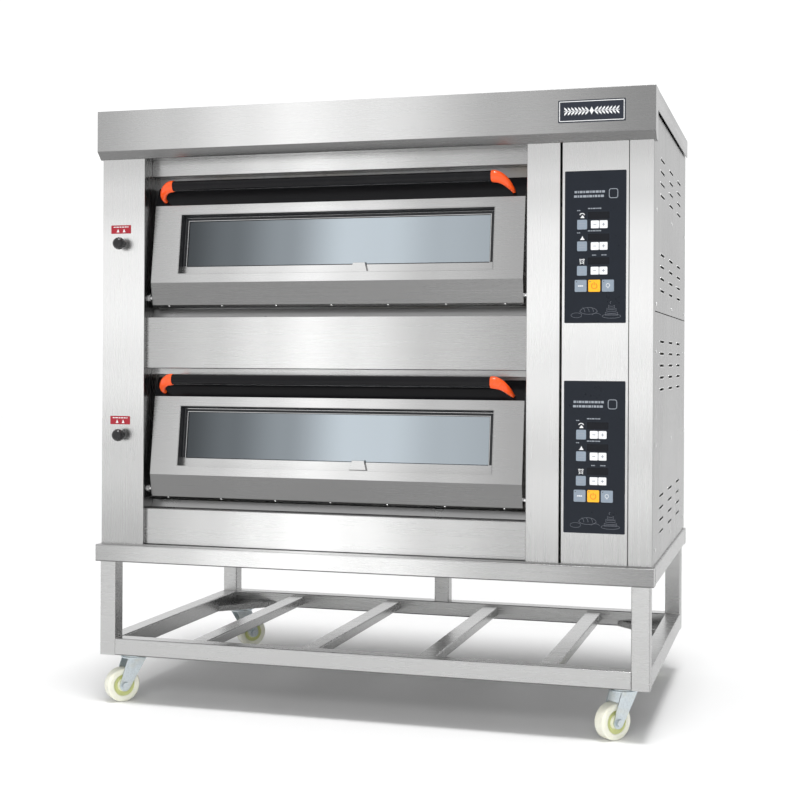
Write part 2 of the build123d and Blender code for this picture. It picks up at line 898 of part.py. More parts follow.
wool = []
wool_low_x = bay_mid - chamber_half
wool_high_x = bay_mid + chamber_half
wool_front = mouth_face + chamber_sheet + wool_gap
shell = chamber_sheet + wool_gap
wool_tops = [deck_z[1] - floor_drop - shell, column_top - wool_gap]
for z, wool_top in zip(deck_z, wool_tops):
    wool.append(wool_beside(z, -1))
    wool.append(wool_beside(z, 1))
    back_low = (wool_low_x, chamber_back + shell, z - floor_drop)
    wool.append(block(back_low, (wool_high_x, panel_back - wool_gap, z + ceiling_rise)))
    top_low = (wool_low_x, wool_front, z + ceiling_rise + shell)
    wool.append(block(top_low, (wool_high_x, chamber_back, wool_top)))
base_low = (wool_low_x, wool_front, body_z)
wool.append(block(base_low, (wool_high_x, chamber_back, deck_z[0] - floor_drop - shell)))
save_group(wool, "insulation")

# ---------------------------------------------------------------- doors
hinge_ends = (-1, 1)


def slope_plane(z):
    """The door's sloping front face: local X across, local Y up the slope, normal outwards."""
    origin = (bay_mid, front + door_bend_front, z + bend_rise)
    return Plane(origin, x_dir=(1, 0, 0), z_dir=(0, -slope_rise / slope_length, slope_run / slope_length))


window_height = slope_length - window_top_margin - window_bottom_margin
window_mid = window_bottom_margin + window_height / 2


def door_skin(z):
    """The folded outer pan: sloping front, near-upright chin, closed sides, open back."""
    with BuildPart() as made:
        with BuildSketch(across(bay_mid - door_half)):
            with BuildLine():
                Polyline(
                    (front + door_back, z),
                    (front + door_bottom_front, z),
                    (front + door_chin_front, z + door_chin_rise),
                    (front + door_bend_front, z + bend_rise),
                    (front + door_top_front, z + steel_top_rise),
                    (front + door_back, z + steel_top_rise),
                    close=True,
                )
            make_face()
        extrude(amount=2 * door_half)
        offset(amount=-door_sheet, openings=made.faces().sort_by(Axis.Y)[-1])
        with BuildSketch(slope_plane(z).offset(-2 * door_sheet)):
            with Locations((0, window_mid)):
                Rectangle(2 * window_half, window_height)
        extrude(amount=4 * door_sheet, mode=Mode.SUBTRACT)
        for x in (bay_mid - door_half - door_sheet, bay_mid + door_half - 2 * door_sheet):
            with BuildSketch(hinge_plane(x, z)):
                Circle(hinge_radius + running_fit)
            extrude(amount=3 * door_sheet, mode=Mode.SUBTRACT)
    return made.part


def door_liner(z):
    """The flat inner sheet with its window hole and the two hinge blocks."""
    liner_y = front + door_back + door_sheet
    with BuildPart() as made:
        with BuildSketch(facing(liner_y)):
            with Locations((bay_mid, z + cap_top_rise / 2)):
                Rectangle(2 * door_half, cap_top_rise)
            with Locations((bay_mid, z + (inner_window_bottom + inner_window_top) / 2)):
                RectangleRounded(
                    2 * (door_half - inner_window_margin),
                    inner_window_top - inner_window_bottom,
                    inner_window_corner,
                    mode=Mode.SUBTRACT,
                )
        extrude(amount=door_sheet)
        reach = door_back - hinge_setback
        for x in (bay_mid - door_half + door_sheet, bay_mid + door_half - door_sheet - hinge_block):
            with BuildSketch(hinge_plane(x, z)):
                Circle(hinge_collar_radius)
                with Locations((reach / 2, 0)):
                    Rectangle(reach, 2 * hinge_collar_radius)
                Circle(hinge_radius + running_fit, mode=Mode.SUBTRACT)
            extrude(amount=hinge_block)
    return made.part


def door_glass_frame(z):
    """The folded window frame: a jamb, a flange in front of the pane, a lip behind the skin."""
    outer_x = 2 * (window_half - frame_fit)
    outer_y = window_height - 2 * frame_fit
    sight_x = outer_x - 2 * frame_side
    sight_y = outer_y - frame_bottom - frame_top
    face = slope_plane(z)
    with BuildPart() as made:
        with BuildSketch(face.offset(-jamb_depth)):
            with Locations((0, window_mid)):
                Rectangle(outer_x, outer_y)
                Rectangle(outer_x - 2 * frame_sheet, outer_y - 2 * frame_sheet, mode=Mode.SUBTRACT)
        extrude(amount=jamb_depth)
        with BuildSketch(face.offset(-jamb_depth - frame_sheet)):
            with Locations((0, window_mid)):
                Rectangle(outer_x, outer_y)
            with Locations((0, window_mid + (frame_bottom - frame_top) / 2)):
                Rectangle(sight_x, sight_y, mode=Mode.SUBTRACT)
        extrude(amount=frame_sheet)
        with BuildSketch(face.offset(-door_sheet - frame_sheet)):
            with Locations((0, window_mid)):
                Rectangle(outer_x + 2 * frame_lip, outer_y + 2 * frame_lip)
                Rectangle(outer_x - frame_sheet, outer_y - frame_sheet, mode=Mode.SUBTRACT)
        extrude(amount=frame_sheet)
        with BuildSketch(face.offset(-jamb_depth)):
            with Locations((tab_offset, window_bottom_margin + frame_fit + frame_sheet + tab_height / 2)):
                Trapezoid(tab_width, tab_height, tab_slope)
        extrude(amount=tab_depth, taper=tab_draft)
    return made.part


def door_glass(z):
    """The outer pane behind the frame's flange and the inner pane against the liner."""
    edge = 2 * (frame_sheet + frame_fit)
    with BuildPart() as outer:
        with BuildSketch(slope_plane(z).offset(-jamb_depth - frame_sheet - glass_sheet)):
            with Locations((0, window_mid)):
                Rectangle(2 * window_half - edge, window_height - edge)
        extrude(amount=glass_sheet)
    with BuildPart() as inner:
        with BuildSketch(facing(front + door_back)):
            with Locations((bay_mid, z + (inner_window_bottom + inner_window_top) / 2)):
                Rectangle(
                    2 * (door_half - inner_window_margin + glass_lap),
                    inner_window_top - inner_window_bottom + 2 * glass_lap,
                )
        extrude(amount=glass_sheet)
    return [outer.part, inner.part]


def door_cap(z):
    """The black top rail, leaning back from the steel edge."""
    with BuildPart() as made:
        with BuildSketch(across(bay_mid - door_half)):
            with BuildLine():
                Polyline(
                    (front + door_top_front, z + steel_top_rise),
                    (front + door_back, z + steel_top_rise),
                    (front + door_back, z + cap_top_rise),
                    (front + cap_top_front, z + cap_top_rise),
                    close=True,
                )
            make_face()
        extrude(amount=2 * door_half)
        fillet(made.edges().filter_by(Axis.X).group_by(Axis.Z)[-1].sort_by(Axis.Y)[0], cap_edge)
        offset(amount=-cap_wall, openings=made.faces().sort_by(Axis.Z)[0])
    return made.part


def door_handle(z):
    with BuildPart() as made:
        left_end = (bay_mid - handle_half, front + handle_setback, z + handle_rise)
        with BuildSketch(Plane(left_end, z_dir=(1, 0, 0))):
            Circle(handle_radius)
            Circle(handle_radius - handle_wall, mode=Mode.SUBTRACT)
        extrude(amount=2 * handle_half)
    return made.part


def horn_bracket(z, side):
    """A curved horn from the cap's face out, up and in to a round head over the tube's end."""
    cap_run = cap_top_front - door_top_front
    cap_rise = cap_top_rise - steel_top_rise
    cap_length = hypot(cap_run, cap_rise)
    foot_dir = (0, -cap_rise / cap_length, cap_run / cap_length)
    foot_y = front + door_top_front + horn_foot_rise * cap_run / cap_length
    foot_z = z + steel_top_rise + horn_foot_rise * cap_rise / cap_length
    foot = (bay_mid + side * (handle_half + horn_foot_spread), foot_y, foot_z)
    head_x = bay_mid + side * (handle_half + horn_head_out)
    head = (head_x, front + handle_setback, z + handle_rise)
    inner_x = bay_mid + side * (handle_half - horn_cup)
    inwards = (-side, 0, 0)
    with BuildPart() as made:
        with BuildLine() as spine:
            Spline(foot, head, tangents=(foot_dir, inwards))
        path = spine.line
        for share, radius in horn_swell:
            with BuildSketch(Plane(path @ share, z_dir=path % share)):
                Circle(radius)
        loft()
        with Locations(head):
            Sphere(horn_head_radius)
        with BuildSketch(Plane(head, z_dir=inwards)):
            Circle(horn_head_radius)
        extrude(amount=horn_head_out + horn_cup)
        with BuildSketch(Plane((inner_x, head[1], head[2]), z_dir=(side, 0, 0))):
            Circle(handle_radius)
        extrude(amount=horn_cup, mode=Mode.SUBTRACT)
    return made.part


for z, name in zip(deck_z, deck_names):
    save(door_skin(z), f"{name}_door_skin")
    save(door_liner(z), f"{name}_door_liner")
    save(door_glass_frame(z), f"{name}_door_glass_frame")
    save_group(door_glass(z), f"{name}_door_glass")
    save(door_cap(z), f"{name}_door_cap")
    save(door_handle(z), f"{name}_door_handle")
    save_group([horn_bracket(z, side) for side in hinge_ends], f"{name}_handle_brackets")


def hinge_pin(z, side):
    """A shouldered pin fixed in the column wall, its journal in the door's hinge block."""
    wall = bay_left if side < 0 else bay_right
    steps = (
        (-sheet - hinge_nut, hinge_nut, hinge_collar_radius),
        (-sheet, sheet, hinge_radius),
        (0.0, hinge_collar, hinge_collar_radius),
        (hinge_collar, door_side_gap - hinge_collar + door_sheet + hinge_block, hinge_radius),
    )
    with BuildPart() as made:
        for start, length, radius in steps:
            origin = (wall - side * start, front + hinge_setback, z + hinge_rise)
            with BuildSketch(Plane(origin, z_dir=(-side, 0, 0))):
                Circle(radius)
            extrude(amount=length)
    return made.part


save_group([hinge_pin(z, side) for z in deck_z for side in hinge_ends], "hinge_pins")

# ---------------------------------------------------------------- steam dampers
guides = []
label_plates = []
for z, name in zip(deck_z, deck_names):
    rod_z = z + damper_rise
    with BuildPart() as guide:
        for start, length, radius in (
            (0.0, bush_nose, bush_nose_radius),
            (sheet, sheet, bush_radius),
            (sheet + bush_nut, bush_nut, bush_nut_radius),
            (bush_length - bush_nose, bush_length - bush_nose - sheet - bush_nut, bush_radius),
        ):
            with BuildSketch(facing(column_face + start)):
                with Locations((damper_x, rod_z)):
                    Circle(radius)
            extrude(amount=length)
        with BuildSketch(facing(column_face + bush_length)):
            with Locations((damper_x, rod_z)):
                Circle(rod_radius + running_fit)
        extrude(amount=2 * bush_length, mode=Mode.SUBTRACT)
    guides.append(guide.part)
    knob_front = column_face - knob_front_out
    with BuildPart() as knob:
        with BuildSketch(Plane((damper_x, knob_front, rod_z), x_dir=(0, 1, 0), z_dir=(-1, 0, 0))):
            with BuildLine():
                face = Line((0, 0), (0, knob_flat))
                dome = ThreePointArc(face @ 1, knob_shoulder, (knob_full, knob_radius))
                Polyline(
                    dome @ 1,
                    (knob_radius, knob_waist),
                    (knob_length, rod_radius + knob_neck),
                    (knob_length, rod_radius),
                    (knob_front_out + rod_length, rod_radius),
                    (knob_front_out + rod_length, 0),
                    (0, 0),
                )
            make_face()
        revolve(axis=Axis((damper_x, knob_front, rod_z), (0, 1, 0)))
    save(knob.part, f"{name}_damper_knob")
    with BuildPart() as label_plate:
        with BuildSketch(facing(column_face)):
            with Locations((damper_x + label_shift, z + label_rise)):
                RectangleRounded(label_width, label_height, plate_corner)
        extrude(amount=label_sheet)
    label_plates.append(label_plate.part)
save_group(guides, "damper_guides")
save_group(label_plates, "steam_labels")

# ---------------------------------------------------------------- controls
overlay_left = overlay_x - overlay_width / 2
key_names = ["mode", "power", "lamp"]
key_hole = key_size + 2 * key_gap
overlays = []
boards = []
for deck_base, name in zip(deck_z, deck_names):
    overlay_top = deck_base + overlay_top_rise
    middle = overlay_top - overlay_height / 2
    row_z = overlay_top - key_row_drop
    board_face = column_face + sheet + board_gap
    key_back = board_face - key_travel - key_switch_gap
    key_x = [overlay_left + key_row_left + index * key_pitch for index in range(3)]
    with BuildPart() as overlay:
        with BuildSketch(facing(column_face)):
            with Locations((overlay_x, middle)):
                RectangleRounded(overlay_width, overlay_height, overlay_corner)
            with Locations(*[(x, row_z) for x in key_x]):
                RectangleRounded(key_hole, key_hole, key_corner + key_gap, mode=Mode.SUBTRACT)
        extrude(amount=overlay_sheet)
        with BuildSketch(facing(column_face - overlay_sheet)):
            for drop in pad_drops:
                with Locations((overlay_left + big_pad[0], overlay_top - drop)):
                    RectangleRounded(*big_pad[1:])
                with Locations(*[(overlay_left + x, overlay_top - drop) for x in small_pad_places]):
                    RectangleRounded(*small_pad)
        extrude(amount=pad_proud)
    overlays.append(overlay.part)
    for x, key_name in zip(key_x, key_names):
        with BuildPart() as key:
            with BuildSketch(facing(key_back)):
                with Locations((x, row_z)):
                    RectangleRounded(key_size, key_size, key_corner)
            extrude(amount=key_back - column_face + overlay_sheet + key_proud)
            with BuildSketch(facing(column_face + key_gap + key_collar)):
                with Locations((x, row_z)):
                    Rectangle(key_size + 2 * key_flange, key_size + 2 * key_flange)
            extrude(amount=key_collar)
            fillet(key.faces().sort_by(Axis.Y)[0].edges(), key_edge)
        save(key.part, f"{name}_{key_name}_key")
    spacer_x = overlay_width / 2 - spacer_inset
    spacer_z = overlay_height / 2 - spacer_inset
    with BuildPart() as board:
        with BuildSketch(facing(board_face + board_sheet)):
            with Locations((overlay_x, middle)):
                Rectangle(overlay_width, overlay_height)
        extrude(amount=board_sheet)
        with BuildSketch(facing(board_face)):
            with Locations((overlay_x, middle)):
                with GridLocations(2 * spacer_x, 2 * spacer_z, 2, 2):
                    Circle(spacer_radius)
        extrude(amount=board_gap)
        with BuildSketch(facing(board_face + board_sheet + board_part[2])):
            with Locations((overlay_x, middle)):
                with GridLocations(*board_part_pitch, 2, 3):
                    Rectangle(*board_part[:2])
        extrude(amount=board_part[2])
    boards.append(board.part)
save_group(overlays, "control_overlays")
save_group(boards, "circuit_boards")

plate_x = half - nameplate_right - nameplate_width / 2
plate_z = top_z - canopy_face / 2 - nameplate_drop
with BuildPart() as nameplate:
    with BuildSketch(facing(front)):
        with Locations((plate_x, plate_z)):
            RectangleRounded(nameplate_width, nameplate_height, plate_corner)
    extrude(amount=nameplate_sheet)
save(nameplate.part, "nameplate")
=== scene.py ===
import json
from math import cos, pi, radians, sin

import bmesh
import bpy
from bpy.props import FloatProperty, FloatVectorProperty, IntProperty, PointerProperty
from mathutils import Matrix, Vector


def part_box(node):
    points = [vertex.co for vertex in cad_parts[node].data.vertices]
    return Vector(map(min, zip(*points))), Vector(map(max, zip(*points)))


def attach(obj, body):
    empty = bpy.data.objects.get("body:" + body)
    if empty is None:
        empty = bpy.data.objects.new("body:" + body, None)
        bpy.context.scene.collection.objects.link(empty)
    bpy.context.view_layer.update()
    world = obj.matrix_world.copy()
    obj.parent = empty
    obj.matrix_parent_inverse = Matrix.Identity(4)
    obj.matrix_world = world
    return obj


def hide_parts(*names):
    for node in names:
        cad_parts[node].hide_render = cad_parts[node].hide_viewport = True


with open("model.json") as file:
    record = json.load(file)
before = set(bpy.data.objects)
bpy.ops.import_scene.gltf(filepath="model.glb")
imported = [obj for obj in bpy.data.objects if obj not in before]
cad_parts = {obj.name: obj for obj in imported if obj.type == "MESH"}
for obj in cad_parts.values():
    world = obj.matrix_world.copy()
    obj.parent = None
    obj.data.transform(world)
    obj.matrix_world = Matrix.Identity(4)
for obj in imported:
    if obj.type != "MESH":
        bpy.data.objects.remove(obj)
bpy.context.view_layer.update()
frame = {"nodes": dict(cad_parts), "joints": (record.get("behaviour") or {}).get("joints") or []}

bl_info = {
    "name": "Two-Deck Oven Finish",
    "version": (1, 0, 0),
    "blender": (4, 5, 0),
    "location": "View3D > Sidebar > Oven",
    "description": "Finishes, trim and studio stage for a two-deck bakery oven",
    "category": "Object",
}

# The row frame: metres, +Z up, the doors face -Y, +X is on the right of someone facing them.
MM = 0.001
DECKS = ("lower", "upper")
CORNERS = ("front_left", "front_right", "rear_left", "rear_right")
JOINTS = {joint["name"]: joint for joint in frame["joints"]}
MAIN_BODY = "oven_body"

LEFT = Vector((-1, 0, 0))
RIGHT = Vector((1, 0, 0))
FORWARD = Vector((0, -1, 0))
BACKWARD = Vector((0, 1, 0))
UP = Vector((0, 0, 1))
DOWN = Vector((0, 0, -1))


# ---------------------------------------------------------------- settings
def length(name, description, default):
    """A size in metres, given in millimetres."""
    return FloatProperty(name=name, description=description, default=default * MM, min=0.0, unit="LENGTH")


def share(name, description, default):
    """A plain number from 0 to 1."""
    return FloatProperty(name=name, description=description, default=default, min=0.0, max=1.0)


def colour(name, description, default):
    """A colour that the user can change."""
    return FloatVectorProperty(
        name=name, description=description, default=default, size=3, min=0.0, max=1.0, subtype="COLOR"
    )


class OvenStageSettings(bpy.types.PropertyGroup):
    """The camera, the floor and the light."""

    camera_place: FloatVectorProperty(
        name="Camera place",
        description="Where the camera stands",
        default=(0.9248, -3.2961, 0.7767),
        size=3,
        subtype="TRANSLATION",
        unit="LENGTH",
    )
    camera_turn: FloatProperty(
        name="Camera turn",
        description="How far the camera turns to the left of straight ahead",
        default=radians(16.364),
        unit="ROTATION",
    )
    camera_roll: FloatProperty(
        name="Camera roll",
        description="How far the camera leans",
        default=radians(0.29),
        unit="ROTATION",
    )
    focal_length: FloatProperty(
        name="Focal length", description="Lens, in millimetres on a 36 mm sensor", default=64.15, min=1.0
    )
    lens_shift: FloatVectorProperty(
        name="Lens shift",
        description="Sideways and upward shift of the lens",
        default=(0.011, -0.048),
        size=2,
    )
    floor_colour: colour("Floor colour", "Colour of the studio floor", (0.93, 0.93, 0.93))
    floor_reach: FloatProperty(
        name="Floor reach", description="Half the width of the floor", default=14.0, unit="LENGTH"
    )
    mirrored_strength: FloatProperty(
        name="Mirrored light", description="Brightness of the surroundings in the steel", default=1.0, min=0.0
    )
    ambient_strength: FloatProperty(
        name="Ambient light",
        description="Brightness of the surroundings on dull surfaces",
        default=0.46,
        min=0.0,
    )
    overhead_strength: FloatProperty(
        name="Overhead light", description="Strength of the broad light from above", default=1.95, min=0.0
    )
    overhead_spread: FloatProperty(
        name="Overhead spread",
        description="How soft the shadow on the floor is",
        default=radians(16),
        unit="ROTATION",
    )
    fill_power: FloatProperty(
        name="Fill power", description="Power of the soft light in front", default=90.0, min=0.0, unit="POWER"
    )


class OvenMetalSettings(bpy.types.PropertyGroup):
    """The sheet steel and the other metals."""

    steel_colour: colour("Steel colour", "Brushed stainless sheet", (0.93, 0.93, 0.925))
    # The chamber colour is set dark, which paints the shade inside the ovens' mouths.
    chamber_colour: colour("Chamber colour", "Steel inside the oven", (0.42, 0.42, 0.425))
    zinc_colour: colour("Zinc colour", "Zinc plate on the casters", (0.62, 0.68, 0.71))
    hearth_colour: colour("Hearth colour", "Dark hearth plate", (0.10, 0.095, 0.09))
    steel_roughness: share("Steel roughness", "How matt the brushed sheet is", 0.26)
    steel_grain: share("Steel grain", "How strongly the brushing stretches a reflection", 0.35)


class OvenPlasticSettings(bpy.types.PropertyGroup):
    """Glass, enamel, plastic and print colours."""

    horn_colour: colour("Bracket colour", "Orange handle brackets", (0.93, 0.10, 0.012))
    black_colour: colour("Black", "Black enamel and plastic", (0.006, 0.006, 0.007))
    glass_colour: colour("Glass tint", "Door glass", (0.78, 0.87, 0.94))
    film_colour: colour("Panel film", "Control panel film", (0.009, 0.012, 0.018))
    grey_key_colour: colour("Grey keys", "Function keys", (0.24, 0.29, 0.35))
    yellow_key_colour: colour("Yellow keys", "Power keys", (0.95, 0.46, 0.012))
    label_colour: colour("Label red", "Steam labels", (0.36, 0.010, 0.025))
    wheel_colour: colour("Wheel", "Caster tyres", (0.86, 0.86, 0.74))
    web_colour: colour("Wheel web", "Caster wheel centres", (0.62, 0.66, 0.28))


class OvenTrimSettings(bpy.types.PropertyGroup):
    """Small parts and printed marks."""

    rivet_radius: length("Rivet radius", "Heads of the rivets under the doors", 2.4)
    rivet_pitch: length("Rivet pitch", "Distance between the rivets", 129.0)
    screw_radius: length("Screw radius", "Heads of the panel screws", 4.2)
    slot_rim: length("Slot rim", "Width of the pressed rim round a cooling slot", 1.6)
    ink: length("Ink", "Thickness of a printed mark", 0.12)
    weld_radius: length("Weld radius", "Size of the weld beads on the stand", 1.6)
    round_steps: IntProperty(name="Round steps", description="Sides of a turned part", default=64, min=12)


# ---------------------------------------------------------------- mesh helpers
def square_to(axis):
    """Two unit vectors square to an axis and to each other."""
    start = UP if abs(axis.z) < 0.9 else RIGHT
    first = start.cross(axis).normalized()
    return first, axis.cross(first)


def skin(mesh, rings, closed=False):
    """Join a stack of equal rings; the two ends are capped unless the stack closes on itself."""
    levels = [[mesh.verts.new(point) for point in ring] for ring in rings]
    uppers = levels[1:] + levels[:1] if closed else levels[1:]
    count = len(rings[0])
    for low, high in zip(levels, uppers):
        for index in range(count):
            after = (index + 1) % count
            mesh.faces.new((low[index], low[after], high[after], high[index]))
    if not closed:
        mesh.faces.new(levels[0][::-1])
        mesh.faces.new(levels[-1])


def ring(centre, first, second, radius, steps):
    """Points round a centre; the radius is one number or depends on the angle."""
    points = []
    for index in range(steps):
        angle = 2 * pi * index / steps
        reach = radius(angle) if callable(radius) else radius
        points.append(centre + reach * (cos(angle) * first + sin(angle) * second))
    return points


def turn(mesh, origin, axis, profile, steps, closed=False):
    """A turned part: the profile lists how far along the axis and how far out from it."""
    first, second = square_to(axis)
    skin(mesh, [ring(origin + along * axis, first, second, out, steps) for along, out in profile], closed)


def prism(mesh, place, outline, low, high):
    """A flat shape with thickness; place is (origin, right, up, out)."""
    origin, right, up, out = place
    loops = [[origin + a * right + b * up + level * out for a, b in outline] for level in (low, high)]
    skin(mesh, loops)


def stroke(mesh, place, points, width, low, high, closed=False):
    """A line of even width with thickness and mitred corners, drawn along points on a flat face."""
    origin, right, up, out = place
    count = len(points)
    sections = []
    for index, (a, b) in enumerate(points):
        steps = []
        if closed or index:
            steps.append((a - points[index - 1][0], b - points[index - 1][1]))
        if closed or index < count - 1:
            after = points[(index + 1) % count]
            steps.append((after[0] - a, after[1] - b))
        sides = [Vector((-rise, run)).normalized() for run, rise in steps]
        side = (sides[0] + sides[-1]).normalized()
        side *= width / 2 / max(0.5, side.dot(sides[0]))
        corners = ((a + side.x, b + side.y), (a - side.x, b - side.y))
        front = [origin + x * right + y * up + high * out for x, y in corners]
        back = [origin + x * right + y * up + low * out for x, y in reversed(corners)]
        sections.append(front + back)
    skin(mesh, sections, closed)


def arc(centre_a, centre_b, reach_a, reach_b, start, end, steps):
    """Points along a stretch of an ellipse; angles in degrees, from the right, anticlockwise."""
    points = []
    for index in range(steps + 1):
        angle = radians(start + (end - start) * index / steps)
        points.append((centre_a + reach_a * cos(angle), centre_b + reach_b * sin(angle)))
    return points


def rounded(centre_a, centre_b, width, height, radius, steps=5):
    """The outline of a rectangle with round corners."""
    points = []
    for side_a, side_b, start in ((1, 1, 0), (-1, 1, 90), (-1, -1, 180), (1, -1, 270)):
        corner_a = centre_a + side_a * (width / 2 - radius)
        corner_b = centre_b + side_b * (height / 2 - radius)
        points += arc(corner_a, corner_b, radius, radius, start, start + 90, steps)
    return points


def circle(centre_a, centre_b, radius, steps=24):
    """The outline of a circle."""
    return arc(centre_a, centre_b, radius, radius, 0, 360, steps)[:-1]


def piece(mesh, name, body, material, replaces=(), smooth=40.0):
    """Turn finished mesh work into a named object that rides on a CAD body."""
    bmesh.ops.recalc_face_normals(mesh, faces=mesh.faces)
    data = bpy.data.meshes.new(name)
    mesh.to_mesh(data)
    mesh.free()
    data.shade_smooth()
    data.set_sharp_from_angle(angle=radians(smooth))
    data.materials.append(material)
    made = bpy.data.objects.new(name, data)
    bpy.context.scene.collection.objects.link(made)
    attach(made, body)
    if replaces:
        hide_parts(*replaces)
    return made


def paint_node(name, material):
    """Give a carried-over CAD node its finish."""
    node = frame["nodes"][name]
    node.data.materials.clear()
    node.data.materials.append(material)


def middle(name):
    """The centre of a node's box."""
    low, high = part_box(name)
    return (low + high) / 2


def hole_boxes(name, axis, at_high):
    """The boxes of the holes that open on one flat outer face of a CAD node."""
    data = frame["nodes"][name].data
    low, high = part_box(name)
    level = high[axis] if at_high else low[axis]
    flat = 0.2 * MM
    used = {}
    for polygon in data.polygons:
        for edge in polygon.edge_keys:
            used[edge] = used.get(edge, 0) + 1
    links = {}
    for (a, b), count in used.items():
        on_face = all(abs(data.vertices[v].co[axis] - level) < flat for v in (a, b))
        if count == 1 and on_face:
            links.setdefault(a, []).append(b)
            links.setdefault(b, []).append(a)
    boxes = []
    seen = set()
    for start in links:
        if start in seen:
            continue
        seen.add(start)
        queue = [start]
        points = []
        while queue:
            vertex = queue.pop()
            points.append(data.vertices[vertex].co)
            for other in links[vertex]:
                if other not in seen:
                    seen.add(other)
                    queue.append(other)
        if len(points) < 3:
            continue
        lowest = Vector([min(p[k] for p in points) for k in range(3)])
        highest = Vector([max(p[k] for p in points) for k in range(3)])
        boxes.append((lowest, highest))
    return sorted({tuple(round(v, 4) for v in (*a, *b)) for a, b in boxes})


# ---------------------------------------------------------------- material helpers
class Finish:
    """A node material being built round one Principled shader."""

    def __init__(self, name, base, metallic=0.0, roughness=0.5):
        self.material = bpy.data.materials.new(name)
        self.material.use_nodes = True
        self.tree = self.material.node_tree
        self.shader = self.tree.nodes["Principled BSDF"]
        self.base = Vector(base)
        self.set(Base_Color=(*base, 1.0), Metallic=metallic, Roughness=roughness)
        self.place = self.node("ShaderNodeTexCoord").outputs["Object"]

    def set(self, **values):
        """Set plain values on the shader's own sockets."""
        for name, value in values.items():
            self.shader.inputs[name.replace("_", " ")].default_value = value

    def node(self, kind, **sockets):
        """Add a node; a socket gets a value, or a link where it is given another node's output."""
        made = self.tree.nodes.new(kind)
        for name, value in sockets.items():
            socket = made.inputs[name.replace("_", " ")]
            if isinstance(value, bpy.types.NodeSocket):
                self.tree.links.new(value, socket)
            else:
                socket.default_value = value
        return made

    def link(self, output, name):
        """Feed an output into a socket of the shader."""
        self.tree.links.new(output, self.shader.inputs[name])

    def noise(self, scale, stretch=(1, 1, 1), detail=4.0, rough=0.5):
        """A cloudy pattern, drawn out along the directions with a small stretch number."""
        mapping = self.node("ShaderNodeMapping", Vector=self.place, Scale=stretch)
        made = self.node(
            "ShaderNodeTexNoise",
            Vector=mapping.outputs["Vector"],
            Scale=scale,
            Detail=detail,
            Roughness=rough,
        )
        return made.outputs["Fac"]

    def cells(self, scale, stretch=(1, 1, 1), feature="F1"):
        """A pattern of cells."""
        mapping = self.node("ShaderNodeMapping", Vector=self.place, Scale=stretch)
        made = self.node("ShaderNodeTexVoronoi", Vector=mapping.outputs["Vector"], Scale=scale)
        made.feature = feature
        return made.outputs["Distance"]

    def range(self, value, low, high, from_low=0.3, from_high=0.7):
        """Map a pattern to a range of numbers."""
        made = self.node("ShaderNodeMapRange", Value=value)
        made.inputs["From Min"].default_value = from_low
        made.inputs["From Max"].default_value = from_high
        made.inputs["To Min"].default_value = low
        made.inputs["To Max"].default_value = high
        return made.outputs["Result"]

    def mix(self, factor, first, second):
        """Blend two colours by a pattern."""
        made = self.tree.nodes.new("ShaderNodeMix")
        made.data_type = "RGBA"
        sockets = [s for s in made.inputs if s.type == "RGBA"]
        for socket, value in zip(sockets, (first, second)):
            if isinstance(value, bpy.types.NodeSocket):
                self.tree.links.new(value, socket)
            else:
                socket.default_value = (*value, 1.0)
        self.tree.links.new(factor, made.inputs["Factor"])
        return next(s for s in made.outputs if s.type == "RGBA")

    def ramp(self, factor, stops):
        """Run through colours as a number goes from 0 to 1."""
        made = self.node("ShaderNodeValToRGB", Fac=factor)
        made.color_ramp.interpolation = "EASE"
        for index, (place, colour_there) in enumerate(stops):
            if index < 2:
                stop = made.color_ramp.elements[index]
                stop.position = place
            else:
                stop = made.color_ramp.elements.new(place)
            stop.color = (*colour_there, 1.0)
        return made.outputs["Color"]

    def tint(self, factor, dark, light):
        """Vary the base colour between two strengths of itself."""
        mixed = self.mix(factor, dark * self.base, light * self.base)
        self.link(mixed, "Base Color")
        return mixed

    def roughen(self, factor, low, high):
        """Vary the roughness."""
        self.link(self.range(factor, low, high), "Roughness")

    def bump(self, height, strength, distance):
        """Raise the surface by a pattern, on top of any bump that is there."""
        made = self.node("ShaderNodeBump", Height=height, Strength=strength, Distance=distance)
        old = self.shader.inputs["Normal"].links
        if old:
            self.tree.links.new(old[0].from_socket, made.inputs["Normal"])
        self.link(made.outputs["Normal"], "Normal")

    def stretch_gloss(self, amount, turned, about="Z"):
        """Draw reflections out across the brushing; no face may cross the axis that they turn about."""
        tangent = self.node("ShaderNodeTangent")
        tangent.direction_type = "RADIAL"
        tangent.axis = about
        self.set(Anisotropic=amount, Anisotropic_Rotation=0.0 if turned else 0.25)
        self.link(tangent.outputs["Tangent"], "Tangent")


# Strength of the painted sheen along a brushed sheet, from one end to the other: a painted highlight that
# swells and fades.
# Each row is a place along the sheet, from 0 to 1, and the share of the base colour there.
LEVEL_PAINTED_SHEEN = ((0.0, 0.50), (0.18, 0.64), (0.33, 0.84), (0.45, 1.0), (0.57, 0.86), (0.78, 0.57), (1.0, 0.42))
WIDE_PAINTED_SHEEN = ((0.0, 0.43), (0.14, 0.62), (0.28, 0.86), (0.38, 1.0), (0.52, 0.84), (0.76, 0.45), (1.0, 0.28))
UPRIGHT_PAINTED_SHEEN = (
    (0.0, 0.44),
    (0.22, 0.62),
    (0.45, 0.86),
    (0.62, 0.97),
    (0.76, 0.94),
    (0.9, 0.76),
    (1.0, 0.62),
)
UNDERSIDE_PAINTED_SHADE = 0.21  # faces that look down: painted shade
BELOW_RAIL_PAINTED_SHADE = 0.54  # tubes under the stand's top rails: a flat painted shade in place of the painted sheen
SCRATCHED = 0.55  # in the hair scratches
CLOUDED = 0.70  # where the finish is a little duller


